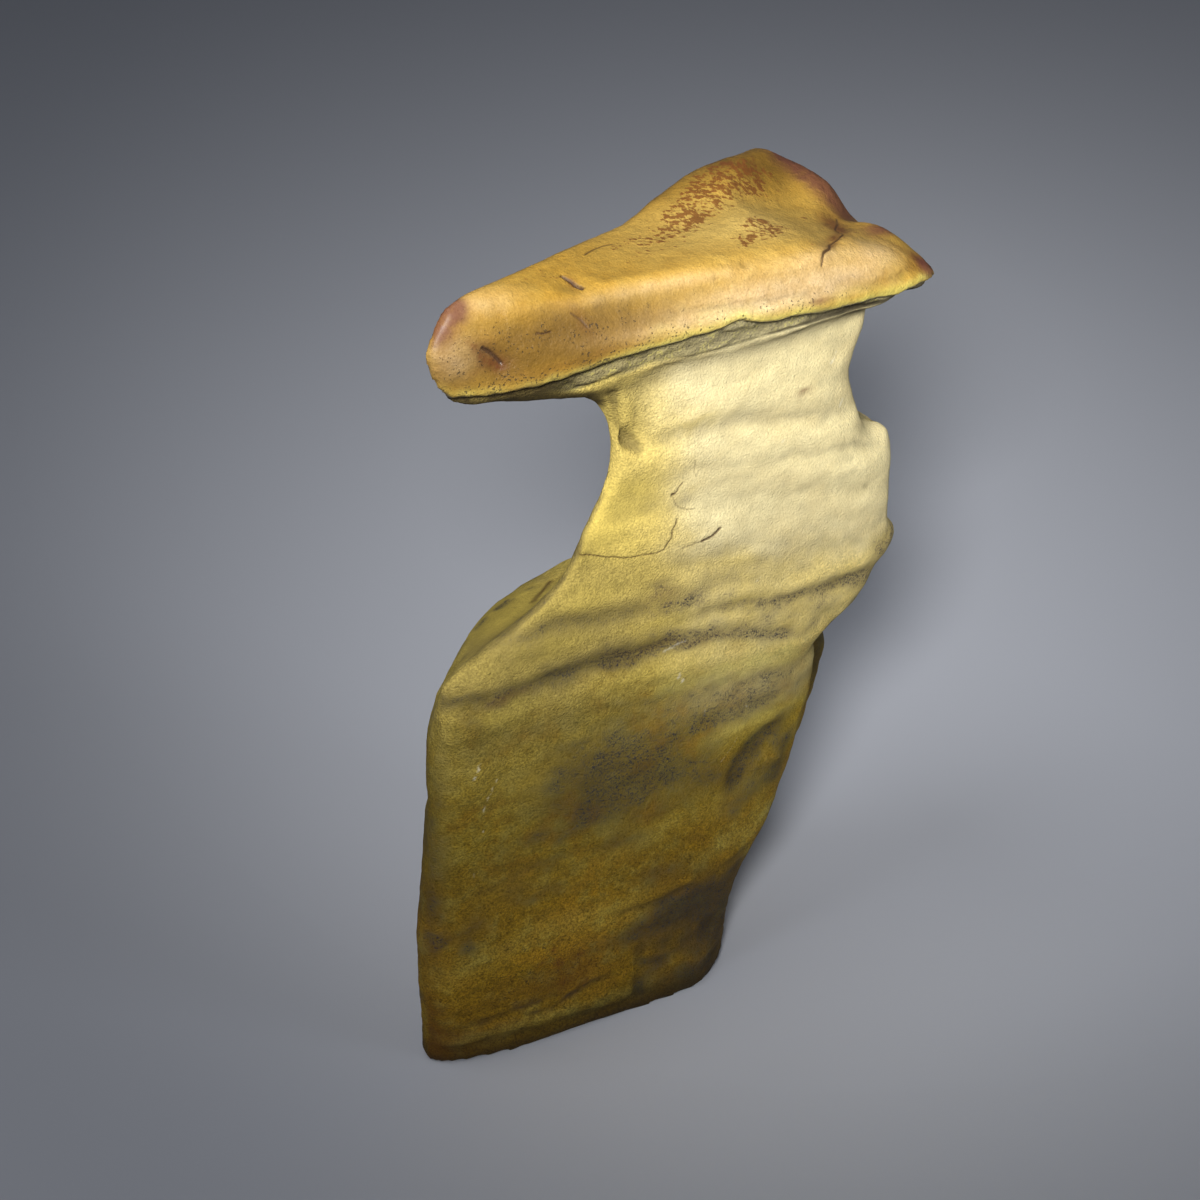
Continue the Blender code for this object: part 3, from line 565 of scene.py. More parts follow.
def wear_rims(mesh):
    """Draws the skin to its full shape, then rounds off what water has worn."""
    skin = Skin(mesh)
    at_front = below(skin.y, -8, 6)
    left_side = smooth(-skin.normals[:, 0] * 3 - 0.3)
    left_rim = left_side * at_front * below(skin.z, 130, 6) * above(skin.z, 1.5, 3)
    shoulder = below(skin.x, -34, 5) * bell((skin.z - 79) / 7) * at_front
    flutes = 0.7 * skin.front * below(skin.z, 74, 8) * above(skin.z, 6, 6)
    hollow = 0.9 * bell(steps_from(WORN_HOLLOW, 7, skin.front_view)) * skin.front
    long_crease = 0.4 * stroke(CREASES[0][2], 3.2, skin.front_view) * skin.front
    creases = [0.25 * stroke(line, 2.6, skin.front_view) * skin.front for line in WORN_CREASES]
    share = np.maximum.reduce((left_rim, shoulder, flutes, hollow, long_crease, *creases))[:, None]
    points, edges = skin.points, read_edges(mesh)
    for centre, half, shift in NUDGES:
        points += np.outer(bell(steps_from(centre, half, points)), shift)
    for _ in range(WEAR_ROUNDS):
        points += WEAR_SHARE * share * (neighbour_mean(points, edges) - points)
    write_points(mesh, points * MM)


def split_faces(mesh, near):
    """Finer faces between the vertices that are near."""
    bm = bmesh.new()
    bm.from_mesh(mesh)
    edges = [e for e in bm.edges if near[e.verts[0].index] and near[e.verts[1].index]]
    bmesh.ops.subdivide_edges(bm, edges=edges, cuts=1, use_grid_fill=True)
    bmesh.ops.triangulate(bm, faces=[f for f in bm.faces if len(f.verts) > 4])
    bm.to_mesh(mesh)
    bm.free()
    mesh.update()


def crease_profile(height, depth, half_width):
    """A soft groove with a swell over it and a fainter one under it."""
    return depth * (
        0.45 * bell((height - 1.7 * half_width) / (1.2 * half_width))
        - bell(height / half_width)
        + 0.3 * bell((height + 2.1 * half_width) / (1.7 * half_width))
    )


def crease_push(skin, wander):
    """The creases across the front, which wander and come and go."""
    come_and_go = np.clip(0.85 + 1.1 * field(skin.points, 7, 7, 47.0), 0.15, 1.4)
    push = np.zeros(len(skin.x))
    for depth, half_width, line in CREASES:
        past_ends = np.maximum(line[0][0] - skin.x, skin.x - line[-1][0])
        ends = bell(np.maximum(past_ends, 0) / 2)
        height = skin.z + 0.9 * wander * half_width - height_of(line, skin.x)
        push += skin.front * ends * come_and_go * crease_profile(height, depth, half_width)
    return push


def cap_push(skin, wander):
    """The cap's proud brow and the hollow band below it, and the seam under its lip."""
    x, z, facing, lip, neck_top = skin.x, skin.z, skin.facing, skin.lip, skin.neck_top
    from_brow = distance_to(BROW, skin.points)
    cap_front = above(z, 136, 2)
    push = BROW_RISE * cap_front * bell(from_brow / BROW_HALF)
    band = bell((from_brow - BAND_BELOW) / BAND_HALF) * below(z, 144, 2)
    push -= BAND_SINK * cap_front * skin.front * band
    # The seam is a crumbly hollow, with a sharp gap under the lip and a fine one over the neck.
    seam = facing * above(x, -24, 5) * below(x, 44, 4)
    within = below(z, lip, 0.9) * above(z, neck_top, 1.2)
    crumbs = field(skin.points, 1.6, 1.2, 5.0) + 0.6 * field(skin.points, 3.5, 2, 8.0)
    push += seam * within * (0.45 * crumbs - 0.2)
    push -= seam * 0.25 * bell((z - neck_top - 0.3 * wander) / 0.5)
    push -= facing * 0.5 * bell((z - lip + 0.65) / 0.5) * above(x, -42, 6)
    push += facing * 0.25 * bell((z - lip - 0.6) / 0.8)
    return push


def mark_push(skin):
    """Pits and knobs, cracks and folds."""
    push = -skin.crack_depth()
    for centre, half, amount in PITS:
        push += amount * bell(steps_from(centre, half, skin.points) ** PIT_STEEPNESS)
    for depth, half_width, line in FOLDS:
        push -= skin.front * depth * stroke(line, half_width, skin.front_view)
    return push


def weather_push(skin):
    """Level flutes, dimples and sand grain; the cap is smoother than the rest."""
    x, z, points = skin.x, skin.z, skin.points
    rough = 1 - 0.7 * above(z, skin.lip - 1, 2)
    level = points + np.outer(BEDDING_TILT * x, (0, 0, 1))
    stained = blots(GREY_BLOTS, skin.front_view) * skin.front
    base = below(z, 15, 6) * smooth(1 - np.abs(skin.normals[:, 2]))
    push = 0.08 * rough * field(level, 12, 2.2, 7.0)
    push += 0.28 * base * field(level, 7, 1.3, 9.0)
    push += 0.11 * (0.35 + 0.65 * rough) * field(points, 4, 2.6, 17.0)
    push += 0.07 * rough * (1 + stained) * field(points, 1.7, 1.4, 23.0)
    push += 0.13 * field(points, 9, 6, 31.0)
    push += 0.1 * (1 - rough) * field(points, 2.4, 1.6, 37.0)
    return push


def carve(mesh):
    """Moves the dense skin in and out along its normals for all the finer relief."""
    skin = Skin(mesh)
    wander = field(skin.points, 9, 5, 41.0)
    push = crease_push(skin, wander) + cap_push(skin, wander) + mark_push(skin) + weather_push(skin)
    points = skin.points + skin.normals * push[:, None]
    points = np.clip(points, np.array(solid_low) / MM, np.array(solid_high) / MM)
    points[points[:, 2] < FLAT_BELOW, 2] = 0
    write_points(mesh, points * MM)


def relief_of(mesh):
    """How far each point stands out from (1) or sinks below (-1) the eased skin around it."""
    points, edges = read_vectors(mesh, "co"), read_edges(mesh)
    eased = points.copy()
    for _ in range(RELIEF_ROUNDS):
        eased += WEAR_SHARE * (neighbour_mean(eased, edges) - eased)
    proud = ((points - eased) * read_vectors(mesh, "normal")).sum(1) / MM
    return np.clip(proud / FULL_RELIEF, -1, 1)


# ---------------------------------------------------------------- the masks of the finish
class CarvedSkin(Skin):
    """The carved skin, with its cap and its lobe, and the frayed places that marks are read at."""

    def __init__(self, mesh):
        super().__init__(mesh)
        self.drift = field(self.points, 14, 9, 3.0)
        self.fray = field(self.points, 4, 2.6, 13.0)
        # Outlines of marks fray, because each point is looked up a little way off.
        wide = np.stack((field(self.points, 5, 3, 51.0), field(self.points, 5, 3, 57.0)), 1)
        small = np.stack((self.fray, field(self.points, 2, 1.6, 61.0)), 1)
        self.frayed = self.front_view + 1.6 * wide + 0.8 * small
        self.cap = smooth((self.z - self.lip + 0.5 + 0.3 * self.fray) / 0.6) * above(self.z, 130.5, 1.5)
        self.lobe = bell(steps_from(LOBE, LOBE_HALF, self.points) ** 2) * above(self.y, -10, 4)


def ground_masks(skin):
    """Which kind of stone each part is."""
    x, y, z, drift, cap = skin.x, skin.y, skin.z, skin.drift, skin.cap
    neck = smooth((z - 89 + 9 * above(x, 6, 20) + 4 * drift) / 14)
    neck *= 0.1 + 0.9 * smooth((x + 15 + 4 * drift) / 26)
    right_side = 0.42 * smooth((x + 14 + 3 * drift) / 22) * smooth((z - 50 + 6 * drift) / 16)
    cream = np.maximum(neck, right_side) * (0.4 + 0.6 * smooth(-skin.normals[:, 1] * 2 + 0.6))
    return {
        "cap": cap,
        "warm": smooth((z - 4 + 7 * drift) / 96),
        "cream": cream * (1 - cap),
        "gold": union((skin.front * blots(GOLD_BLOTS, skin.frayed), skin.lobe)),
        # Tarnish, with painted shade at the cap's left front and on its top's right-rear facet.
        "tarnish_and_shade": union((
            cap * skin.front * blots(TARNISH_AND_SHADE_BLOTS, skin.front_view),
            skin.top * blots(TOP_TARNISH_AND_SHADE_BLOTS, skin.top_view),
            0.5 * cap * above(y, 8, 10),
        )),
        "crown": skin.top * bell(np.hypot((x - 16) / 20, (y + 9) / 9)),
        # Painted sheen on the cap.
        "painted_sheen": patches(PAINTED_SHEEN_PATCHES, skin.points) * cap,
        "plum": patches(PLUM_PATCHES, skin.points),
    }


def shade_masks(skin):
    """The seam; painted shadow in its gaps; painted shade on the undersides; and painted shade, with some
    darker tone, where the skin is darker.
    """
    x, y, z, drift, fray, front = skin.x, skin.y, skin.z, skin.drift, skin.fray, skin.front
    lip, neck_top, facing = skin.lip, skin.neck_top, skin.facing
    seam = below(z, lip + 0.1, 0.5) * smooth((z - neck_top + 0.8 + fray) / 1.6) * above(x, -26, 6)
    downwards = -skin.normals[:, 2] * 2
    return {
        "seam": facing * seam * (1 - skin.cap),
        # Painted shadow in the gap under the lip, most at the left and right, and a fine one over the neck.
        "gap": facing * union((
            bell((z - lip + 0.6) / 0.55) * above(x, -44, 6) * (0.15 + 0.75 * below(x, -6, 10)),
            0.8 * bell((z - neck_top) / 0.5) * above(x, 8, 10),
            0.9 * above(x, 17, 12) * below(z, lip - 0.4 + 0.3 * fray, 0.6) * above(z, neck_top - 0.6, 0.8),
        )),
        # Painted shade on downward faces, under the cap's left end and lip, low on the foot, and in the
        # hollow behind the column's right edge.
        "under": union((
            smooth(downwards - 0.9) * above(z, 2, 2),
            smooth(downwards - 0.5) * below(x, -8, 4) * above(z, 121, 4),
            below(z, lip - 0.2 + 0.3 * fray, 0.4) * below(x, -17 + 2 * fray, 6) * above(z, 124, 3),
            (0.72 + 0.2 * above(x, -24, 10)) * below(z, 6.3, 5.5),
            0.9 * bell(steps_from(DARK_HOLLOW, DARK_HOLLOW_HALF, skin.points)),
        )),
        # Painted shade on the left rim, the shoulder rim, the foot, the lower right, under the cap and in
        # the folds; the broad patch at the left and middle is darker tone.
        "painted_shade_and_tone": union((
            0.8 * below(x, 12 + 4 * drift, 34) * below(z, 98 + 4 * drift, 16) * above(z, 20, 30),
            0.8 * below(x, -39, 5) * below(z, 84, 8) * above(z, 30, 14),
            0.95 * stroke(SHOULDER_RIM, 3.4, skin.front_view) * below(y, -8, 5),
            0.95 * below(z, 7.5, 7),
            front * blots(PAINTED_SHADE_BLOTS, skin.front_view),
            front * 0.8 * strokes(FOLDS, skin.front_view),
        )),
    }


def mark_masks(skin):
    """Stains, rust, specks, dots, streaks, scratches and cracks."""
    x, z, fray, front, top, lobe = skin.x, skin.z, skin.fray, skin.front, skin.top, skin.lobe
    left_rim = below(x, -43.5, 3) * above(z, 10, 20) * below(z, 84, 8)
    behind = (1 - front) * (1 - skin.cap) * (1 - lobe)
    lip_edge = bell((z - skin.lip - 0.5) / 0.8) * above(x, -42, 6) * (0.5 + 0.45 * above(x, -30, 12))
    return {
        "grey": union((
            front * blots(GREY_BLOTS, skin.frayed),
            # Along the creases the stain also paints their shade.
            front * strokes(GREY_LINES, skin.frayed),
            0.15 * left_rim,
            0.35 * behind * smooth((skin.drift + 0.4 * fray - 0.1) * 3),
            0.8 * lobe * stroke(LOBE_RIM, 1.1, skin.points) * smooth(fray * 3 + 0.6),
        )),
        "rust": union((
            front * blots(RUST_BLOTS, skin.frayed), top * blots(TOP_RUST_BLOTS, skin.top_view),
        )),
        "speckle": top * blots(SPECKLE_CLUSTERS, skin.top_view),
        "dotting": front * blots(DOTTING_BLOTS, skin.front_view),
        "lime": union((front * strokes(LIME_STREAKS, skin.frayed), front * lip_edge)),
        "scuff": front * strokes(SCUFFS, skin.front_view),
        "crack": union((
            np.clip(skin.crack_depth(1.1) / 0.15, 0, 1), stroke(LOBE_FISSURE, 0.5, skin.points),
        )),
    }


def write_masks(mesh):
    """Writes each mask of the finish on the skin as a named attribute."""
    skin = CarvedSkin(mesh)
    masks = {**ground_masks(skin), **shade_masks(skin), **mark_masks(skin), "relief": relief_of(mesh)}
    for name, values in masks.items():
        layer = mesh.attributes.new(name, "FLOAT", "POINT")
        layer.data.foreach_set("value", np.asarray(values, np.float32))


# ---------------------------------------------------------------- the finish
class Wire:
    """A socket in a finish that takes part in sums."""

    def __init__(self, finish, socket):
        self.finish = finish
        self.socket = socket

    def maths(self, operation, *terms):
        return self.finish.node("ShaderNodeMath", {"operation": operation}, terms)

    def __add__(self, other):
        return self.maths("ADD", self, other)

    __radd__ = __add__

    def __sub__(self, other):
        return self.maths("SUBTRACT", self, other)

    def __rsub__(self, other):
        return self.maths("SUBTRACT", other, self)

    def __mul__(self, other):
        return self.maths("MULTIPLY", self, other)

    __rmul__ = __mul__

    def at_most(self, other):
        return self.maths("MINIMUM", self, other)

    def at_least(self, other):
        return self.maths("MAXIMUM", self, other)

    def rise(self, start, end):
        """0 at the start, 1 at the end, an even rise between."""
        return self.finish.node(
            "ShaderNodeMapRange", {"interpolation_type": "SMOOTHSTEP"},
            {"Value": self, "From Min": start, "From Max": end},
        )


class Finish:
    """A material and the few ways in which its nodes are made."""

    def __init__(self, name):
        self.material = bpy.data.materials.new(name)
        self.material.use_nodes = True
        self.tree = self.material.node_tree
        self.inputs = self.tree.nodes["Principled BSDF"].inputs

    def node(self, kind, settings=None, inputs=(), output=0):
        """A node with its settings, then its inputs by name or in order; gives one output."""
        made = self.tree.nodes.new(kind)
        for setting, value in (settings or {}).items():
            setattr(made, setting, value)
        pairs = inputs.items() if isinstance(inputs, dict) else enumerate(inputs)
        for key, value in pairs:
            self.feed(made.inputs[key], value)
        return Wire(self, made.outputs[output])

    def feed(self, socket, value):
        if isinstance(value, Wire):
            self.tree.links.new(value.socket, socket)
        elif isinstance(value, tuple) and len(value) == 3 and socket.type == "RGBA":
            socket.default_value = (*value, 1)
        else:
            socket.default_value = value

    def mask(self, name):
        return self.node("ShaderNodeAttribute", {"attribute_name": name}, output="Fac")

    def noise(self, place, length, detail, roughness=0.5):
        """Noise from 0 to 1 whose features are about this long, in millimetres."""
        inputs = {"Vector": place, "Scale": 1 / (length * MM), "Detail": detail, "Roughness": roughness}
        return self.node("ShaderNodeTexNoise", {}, inputs, output="Fac")

    def grains(self, place, length):
        """Packed grains about this wide, in millimetres: each grain's own tone, and its dome."""
        inputs = {"Vector": place, "Scale": 1 / (length * MM)}
        cells = self.node("ShaderNodeTexVoronoi", {}, inputs, output="Color")
        tone = self.node("ShaderNodeSeparateXYZ", {}, (cells,))
        return tone, 1 - Wire(self, cells.socket.node.outputs["Distance"])

    def mix(self, first, second, share):
        settings = {"data_type": "RGBA", "clamp_factor": True}
        return self.node("ShaderNodeMix", settings, {0: share, 6: first, 7: second}, output=2)

    def shaded(self, colour, amount):
        """The colour times an amount that may go over 1."""
        factors = self.node("ShaderNodeCombineXYZ", {}, (amount, amount, amount))
        return self.node("ShaderNodeVectorMath", {"operation": "MULTIPLY"}, (colour, factors))


# Colours of the body, from its cream neck down to its umber foot.
CREAM = (0.76, 0.655, 0.36)
BEIGE = (0.66, 0.54, 0.27)
STRAW = (0.62, 0.47, 0.125)
GOLD = (0.60, 0.455, 0.09)
TAN = (0.50, 0.385, 0.08)
KHAKI = (0.36, 0.295, 0.06)
OLIVE = (0.365, 0.247, 0.022)
BROWN = (0.335, 0.184, 0.012)
UMBER = (0.275, 0.161, 0.009)
# Colours of the cap, from its pale painted sheen to its tarnish and painted shade.
CAP_PAINTED_SHEEN = (0.68, 0.50, 0.29)
CAP_GOLD = (0.54, 0.375, 0.105)
CAP_OCHRE = (0.42, 0.255, 0.042)
CAP_AMBER = (0.37, 0.20, 0.022)
CAP_BROWN = (0.16, 0.085, 0.011)
# Colours of stains, of the seam, and of painted shadow and shade.
LIME = (0.56, 0.49, 0.115)
SLATE = (0.036, 0.034, 0.036)
DUSK = (0.17, 0.13, 0.085)
# Painted shade under things.
UNDER_SHADE = (0.024, 0.015, 0.007)
SEAM_GREY = (0.27, 0.23, 0.115)
# The black of the painted shadow in the seam's gaps, and of the dots.
SHADOW_AND_DOT_BLACK = (0.03, 0.022, 0.014)
# Colours of marks.
RUST = (0.12, 0.034, 0.009)
SPECK = (0.16, 0.05, 0.01)
PLUM = (0.115, 0.034, 0.027)
SCUFF = (0.8, 0.75, 0.58)
CRACK = (0.06, 0.028, 0.012)
ROUGH_BODY, ROUGH_CAP = 0.74, 0.42
CAP_COAT, CAP_COAT_ROUGH = 0.6, 0.36
SHEEN_OF_GRAIN = 0.18
# How long the features of each noise are in the finish, in millimetres, from clouds to grains.
CLOUD_LENGTH, BLOTCH_LENGTH, MOTTLE_LENGTH, CRUMB_LENGTH = 13, 6, 2.6, 1.1
FINE_LENGTH, GRAIN_LENGTH = 0.33, 0.38
SPECK_LENGTH, DOT_LENGTH = 0.75, 0.38
# How thick the strata are, and how far places are squeezed sideways before their noise is read.
STRATA_LENGTH, STRATA_SQUEEZE = 2.6, 0.16


class StoneFinish(Finish):
    """The stone's own finish, layer on layer, from the masks on its skin and noise of every length."""

    def __init__(self):
        super().__init__("banded_stone")
        place = self.node("ShaderNodeTexCoord", output="Object")
        apart = self.node("ShaderNodeSeparateXYZ", {}, (place,)).socket.node
        x, y, z = (Wire(self, apart.outputs[i]) for i in range(3))
        self.cap, self.warm, self.cream = self.mask("cap"), self.mask("warm"), self.mask("cream")
        self.gold, self.plum, self.relief = self.mask("gold"), self.mask("plum"), self.mask("relief")
        # Level strata: noise that is long across the stone and short up it, tilted a little.
        level = x * STRATA_SQUEEZE, y * STRATA_SQUEEZE, z + x * BEDDING_TILT
        self.strata = self.noise(self.node("ShaderNodeCombineXYZ", {}, level), STRATA_LENGTH, 3.0, 0.55)
        self.cloud = self.noise(place, CLOUD_LENGTH, 3.0, 0.55)
        self.blotch = self.noise(place, BLOTCH_LENGTH, 3.0, 0.6)
        self.mottle = self.noise(place, MOTTLE_LENGTH, 3.0, 0.6)
        self.crumb = self.noise(place, CRUMB_LENGTH, 2.0, 0.6)
        self.fine = self.noise(place, FINE_LENGTH, 1.0).rise(0.3, 0.7)
        self.tone, self.dome = self.grains(place, GRAIN_LENGTH)
        # Specks are drawn out along the rows that they lie in, which run up the cap's slope.
        rows = x * 0.58 - y * 0.3, x * 0.5 + y * 0.95, z
        self.specks = self.noise(self.node("ShaderNodeCombineXYZ", {}, rows), SPECK_LENGTH, 4.0, 0.65)
        self.dotting = self.mask("dotting")
        dots = self.noise(place, DOT_LENGTH, 1.0) + self.dotting * 0.2 + self.mottle * 0.5
        self.dots = (dots - 0.97).rise(0, 0.08)

    def body(self):
        """Umber at the foot, olive and tan above it, gold where it is smooth, cream at the neck."""
        warm, gold, cream = self.warm, self.gold, self.cream
        cloud, blotch, mottle = self.cloud, self.blotch, self.mottle
        body = self.mix(UMBER, OLIVE, (warm * 2.6 + cloud * 0.8 + blotch * 0.5 - 1.0).rise(0, 1))
        body = self.mix(body, KHAKI, (blotch * 2.6 + mottle * 1.6 - 2.0).rise(0, 0.8) * 0.45)
        body = self.mix(body, BROWN, (cloud * 1.6 - blotch * 2.0 - mottle + 0.75).rise(0, 0.5) * 0.75)
        body = self.mix(body, TAN, (warm * 1.9 + blotch * 0.9 - 1.35).rise(0, 1))
        body = self.mix(body, STRAW, (warm * 2.0 + mottle * 0.5 - 1.6).rise(0, 0.6))
        body = self.mix(body, GOLD, gold * (warm * 1.2 + 0.2).at_most(0.9))
        pale = self.mix(BEIGE, CREAM, (cloud * 0.8 + blotch * 0.6 + mottle * 0.3 - 0.4).rise(0, 0.8))
        paleness = (cream * (0.7 + blotch * 0.6)).rise(0.1, 0.95)
        return self.mix(body, pale, paleness * (1 - gold * 0.7))

    def crust(self):
        """The cap: amber and ochre, golden on its crown, tarnished brown with some painted shade, and a
        pale painted sheen.
        """
        blotch, mottle = self.blotch, self.mottle
        crust = self.mix(CAP_AMBER, CAP_OCHRE, (blotch * 1.2 + mottle * 0.8 - 0.5).rise(0, 1))
        golden = (0.3 + self.cloud * 0.6 + mottle * 0.3).at_most(0.85)
        crust = self.mix(crust, CAP_GOLD, self.mask("crown") * golden)
        # Darker brown crust: tarnish, and painted shade.
        tarnish_and_shade = self.mask("tarnish_and_shade") * (0.6 + blotch * 0.9) + mottle * 0.3 - 0.15
        crust = self.mix(crust, CAP_BROWN, tarnish_and_shade.rise(0, 0.9))
        # A pale painted sheen, most of it on the cap's right front.
        return self.mix(crust, CAP_PAINTED_SHEEN, self.mask("painted_sheen") * (0.25 + mottle * 0.9 + self.fine * 0.1))

    def weathered(self, colour):
        """Lime-yellow streaks, level strata, sandy grit, and painted shade with some darker tone."""
        fine, tone, crumb, mottle = self.fine, self.tone, self.crumb, self.mottle
        colour = self.mix(colour, LIME, self.mask("lime") * (0.2 + mottle * 1.1).at_most(1.0))
        colour = self.shaded(colour, 0.89 + self.strata * 0.22)
        grit = fine * 0.54 + tone * 0.44 + crumb * 0.46 + mottle * 0.6 - 0.98
        bare = (1 - self.cap * 0.6) * (1 - self.gold * 0.6) * (1 - self.cream * 0.7)
        colour = self.shaded(colour, 1 + grit * bare * (1.2 - self.warm * 0.55))
        # Painted shade, with some darker tone.
        return self.shaded(colour, 1 - self.mask("painted_shade_and_tone") * (0.32 + self.cloud * 0.3))

    def stained(self, colour):
        """Grey stain, which sits in the hollows and along the creases, where it also paints their shade,
        and shows as dark grains where it is thin.
        """
        grey = self.mask("grey")
        # Stain in the hollows, which also paints their shade.
        hollows = (self.relief * -0.3).at_least(0.0) * (1 - self.cap)
        patchy = self.blotch * 0.9 + self.mottle * 1.2 + self.crumb * 0.7 - 1.4
        stain = (grey * 1.55 + hollows + patchy * (grey * 3.0).at_most(1.0)).at_least(0.0).at_most(1.0)
        stain_colour = self.mix(SLATE, DUSK, self.cream * 0.6)
        return self.mix(colour, stain_colour, stain * (0.15 + self.fine * 0.48 + self.tone * 0.45))

    def shadowed(self, colour):
        """The seam under the cap, painted shadow in the gaps along it, and painted shade on the undersides.
        """
        fine, tone, crumb, mottle = self.fine, self.tone, self.crumb, self.mottle
        seam_colour = self.mix(SEAM_GREY, LIME, (tone * 0.5 + mottle - 0.8).rise(0, 0.3) * 0.5)
        seam_colour = self.mix(seam_colour, SLATE, (fine * 0.35 + crumb - 0.62).rise(0, 0.35) * 0.6)
        colour = self.mix(colour, seam_colour, self.mask("seam") * 0.85)
        # Painted shadow in the gaps along the seam.
        gap = (self.mask("gap") * (0.3 + mottle * 0.5 + self.blotch * 0.7)).rise(0.25, 0.85)
        colour = self.mix(colour, SHADOW_AND_DOT_BLACK, gap * 0.8)
        # Painted shade on the undersides, low on the foot and in the hollow behind the column's right edge.
        return self.mix(colour, UNDER_SHADE, self.mask("under") * (0.75 + mottle * 0.3).at_most(0.95))

    def marked(self, colour):
        """Rust, rusty specks in clusters, black dots, plum patches, painted light and shade from the
        relief, cracks and pale scuffs.
        """
        tone, crumb, mottle = self.tone, self.crumb, self.mottle
        rust = (self.mask("rust") * (0.4 + mottle * 0.8 + tone * 0.4)).at_most(1.0)
        colour = self.mix(colour, RUST, rust * 0.85)
        speckle = self.mask("speckle")
        speckled = (self.specks + speckle.at_most(0.8) * 0.3 + mottle * 0.45 - 0.918).rise(0, 0.07)
        colour = self.mix(colour, SPECK, speckled * (speckle * 4).at_most(0.85))
        colour = self.mix(colour, SHADOW_AND_DOT_BLACK, self.dots * (self.dotting * 3).at_most(0.7))
        colour = self.mix(colour, PLUM, (self.plum * (0.45 + mottle * 1.1)).rise(0.1, 0.8) * 0.85)
        # Painted light on proud skin and painted shade in its hollows.
        colour = self.shaded(colour, 1 + self.relief * 0.2)
        colour = self.mix(colour, CRACK, self.mask("crack") * 0.9)
        scuffed = (self.mask("scuff") * (crumb + tone * 0.5 + 0.3)).rise(0.25, 0.8)
        return self.mix(colour, SCUFF, scuffed * 0.55)

    def height(self):
        """The skin's fine relief in millimetres: sand on the body, wax on the cap, a pit at each dot."""
        cap, cream, fine, crumb, mottle = self.cap, self.cream, self.fine, self.crumb, self.mottle
        sandy = (1 - cap * 0.8) * (1 - self.gold * 0.5) * (1 - cream * 0.4)
        sand = (self.dome * 0.11 + fine * 0.07) * sandy
        lumps = (crumb * 0.12 + mottle * 0.2) * (1 - cap) * (1 - cream * 0.5)
        wax = (crumb * 0.12 + mottle * 0.4 + fine * 0.012) * cap
        return sand + lumps + wax - self.dots * 0.06

    def lay_on(self):
        """Feeds the shader, and gives the material."""
        colour = self.weathered(self.mix(self.body(), self.crust(), self.cap))
        colour = self.marked(self.shadowed(self.stained(colour)))
        roughness = ROUGH_BODY + self.crumb * 0.14 - self.cap * (ROUGH_BODY - ROUGH_CAP) + self.plum * 0.3
        bump = {"Strength": 1.0, "Distance": MM, "Height": self.height()}
        self.feed(self.inputs["Base Color"], colour)
        self.feed(self.inputs["Roughness"], roughness)
        self.feed(self.inputs["Coat Weight"], self.cap * (1 - self.plum * 0.7) * CAP_COAT)
        self.feed(self.inputs["Coat Roughness"], CAP_COAT_ROUGH)
        self.feed(self.inputs["Specular IOR Level"], SHEEN_OF_GRAIN)
        self.feed(self.inputs["Metallic"], 0.0)
        self.feed(self.inputs["Normal"], self.node("ShaderNodeBump", {}, bump))
        return self.material


def dress_stone():
    mesh = dense_copy(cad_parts[STONE])
    wear_rims(mesh)
    split_faces(mesh, Skin(mesh).seam_distance() < SEAM_REACH)
    for reach in CRACK_REACHES:
        split_faces(mesh, Skin(mesh).crack_distance() < reach)
    carve(mesh)
    write_masks(mesh)
    mesh.materials.clear()
    mesh.materials.append(StoneFinish().lay_on())
    mesh.shade_smooth()
    mesh.name = "stone"
    stone = bpy.data.objects.new("stone", mesh)
    bpy.context.scene.collection.objects.link(stone)
    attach(stone, "root")
    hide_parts(STONE)


# ---------------------------------------------------------------- floor, lights and camera
FLOOR_HALF = 3.0
FLOOR_COLOUR, FLOOR_ROUGH = (0.56, 0.58, 0.64), 0.9
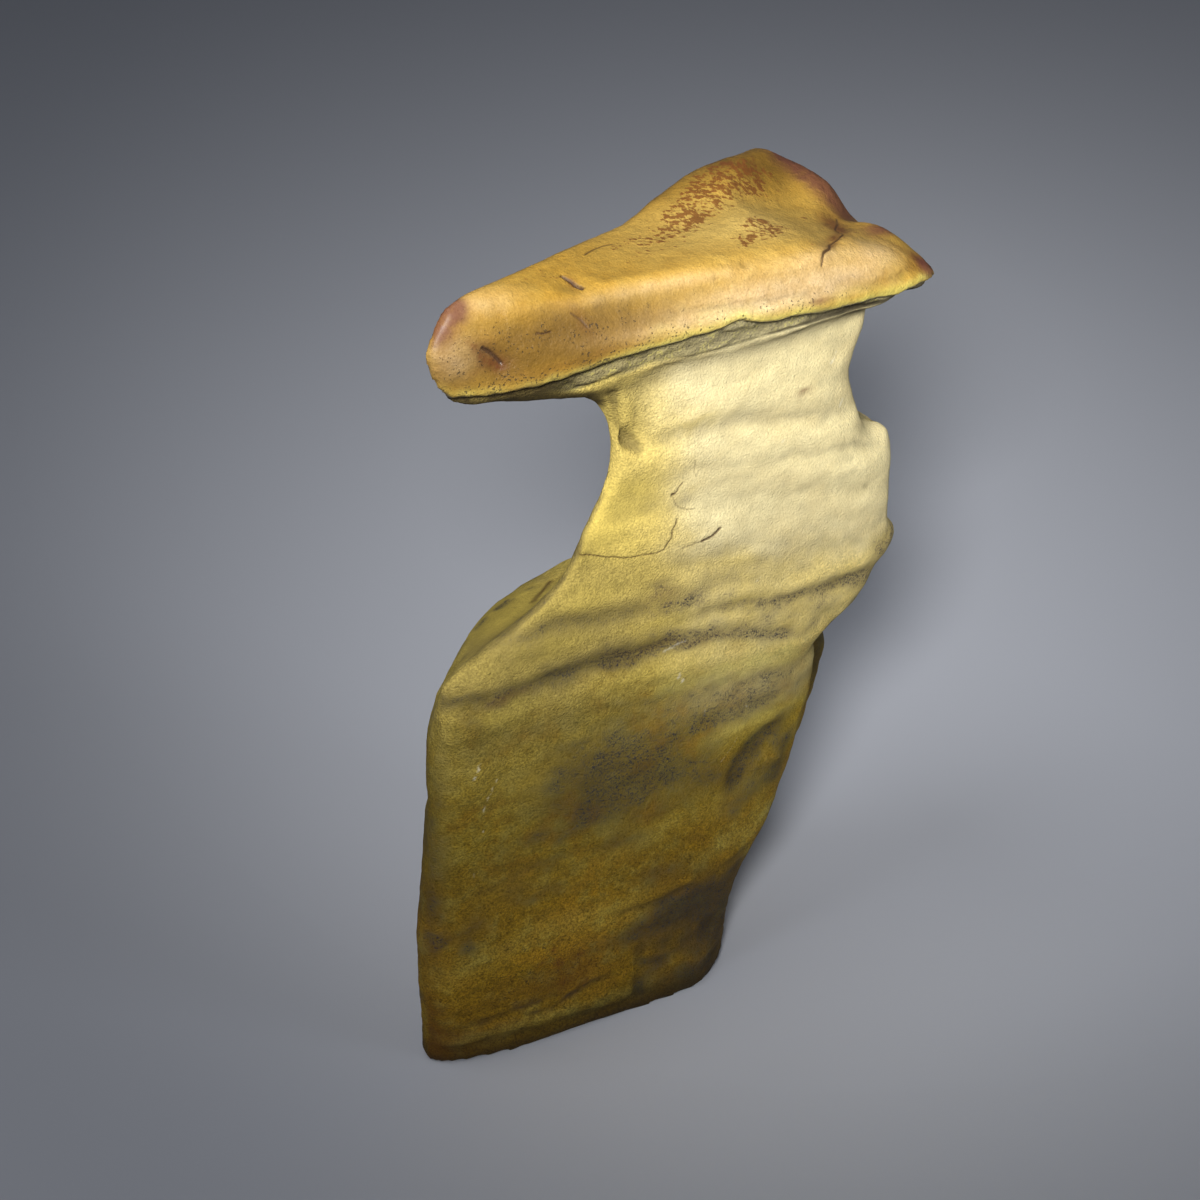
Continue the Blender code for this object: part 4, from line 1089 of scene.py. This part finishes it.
# Softboxes: (place, aim, width, power, degrees of spread, colour). The first lights the neck most.
SOFTBOXES = {
    "key": ((-0.183, -0.285, 0.338), (0.06, 0.035, 0.118), 0.09, 0.19, 46, (1.0, 0.99, 0.97)),
    "fill": ((0.42, -0.50, 0.42), (0.0, 0.0, 0.09), 0.22, 0.36, 180, (0.93, 0.96, 1.0)),
    "top": ((-0.18, 0.0, 0.66), (0.0, 0.0, 0.1), 0.24, 0.78, 180, (0.97, 0.98, 1.0)),
}
ROOM_COLOUR, ROOM_LIGHT = (0.85, 0.9, 1.0, 1), 0.085
CAMERA_AIM = (0.00863, 0.02358, 0.0594)
CAMERA_AZIMUTH, CAMERA_ELEVATION, CAMERA_DISTANCE = math.radians(-27), math.radians(32), 0.387
LENS, SENSOR, NEAREST = 60, 36, 0.01


def aimed(obj, place, aim):
    """Puts a light or camera in place, looking at its aim."""
    place, aim = Vector(place), Vector(aim)
    obj.location = place
    obj.rotation_euler = (aim - place).to_track_quat("-Z", "Y").to_euler()
    bpy.context.scene.collection.objects.link(obj)


def lay_floor():
    bm = bmesh.new()
    bmesh.ops.create_grid(bm, x_segments=1, y_segments=1, size=FLOOR_HALF)
    mesh = bpy.data.meshes.new("floor")
    bm.to_mesh(mesh)
    bm.free()
    paper = Finish("pale_floor")
    paper.feed(paper.inputs["Base Color"], FLOOR_COLOUR)
    paper.feed(paper.inputs["Roughness"], FLOOR_ROUGH)
    mesh.materials.append(paper.material)
    floor = bpy.data.objects.new("floor", mesh)
    bpy.context.scene.collection.objects.link(floor)


def light_room():
    for name, (place, aim, width, power, spread, colour) in SOFTBOXES.items():
        data = bpy.data.lights.new(name, "AREA")
        data.shape = "DISK"
        data.size = width
        data.energy = power
        data.spread = math.radians(spread)
        data.color = colour
        aimed(bpy.data.objects.new(name, data), place, aim)
    world = bpy.data.worlds.new("room")
    world.use_nodes = True
    background = world.node_tree.nodes["Background"]
    background.inputs["Color"].default_value = ROOM_COLOUR
    background.inputs["Strength"].default_value = ROOM_LIGHT
    bpy.context.scene.world = world


def place_camera():
    flat = math.cos(CAMERA_ELEVATION)
    back = Vector((
        math.sin(CAMERA_AZIMUTH) * flat, -math.cos(CAMERA_AZIMUTH) * flat, math.sin(CAMERA_ELEVATION),
    ))
    data = bpy.data.cameras.new("camera")
    data.lens = LENS
    data.sensor_width = SENSOR
    data.clip_start = NEAREST
    camera = bpy.data.objects.new("camera", data)
    aimed(camera, Vector(CAMERA_AIM) + back * CAMERA_DISTANCE, CAMERA_AIM)
    bpy.context.scene.camera = camera


dress_stone()
lay_floor()
light_room()
place_camera()
bpy.context.scene.view_settings.view_transform = "Standard"
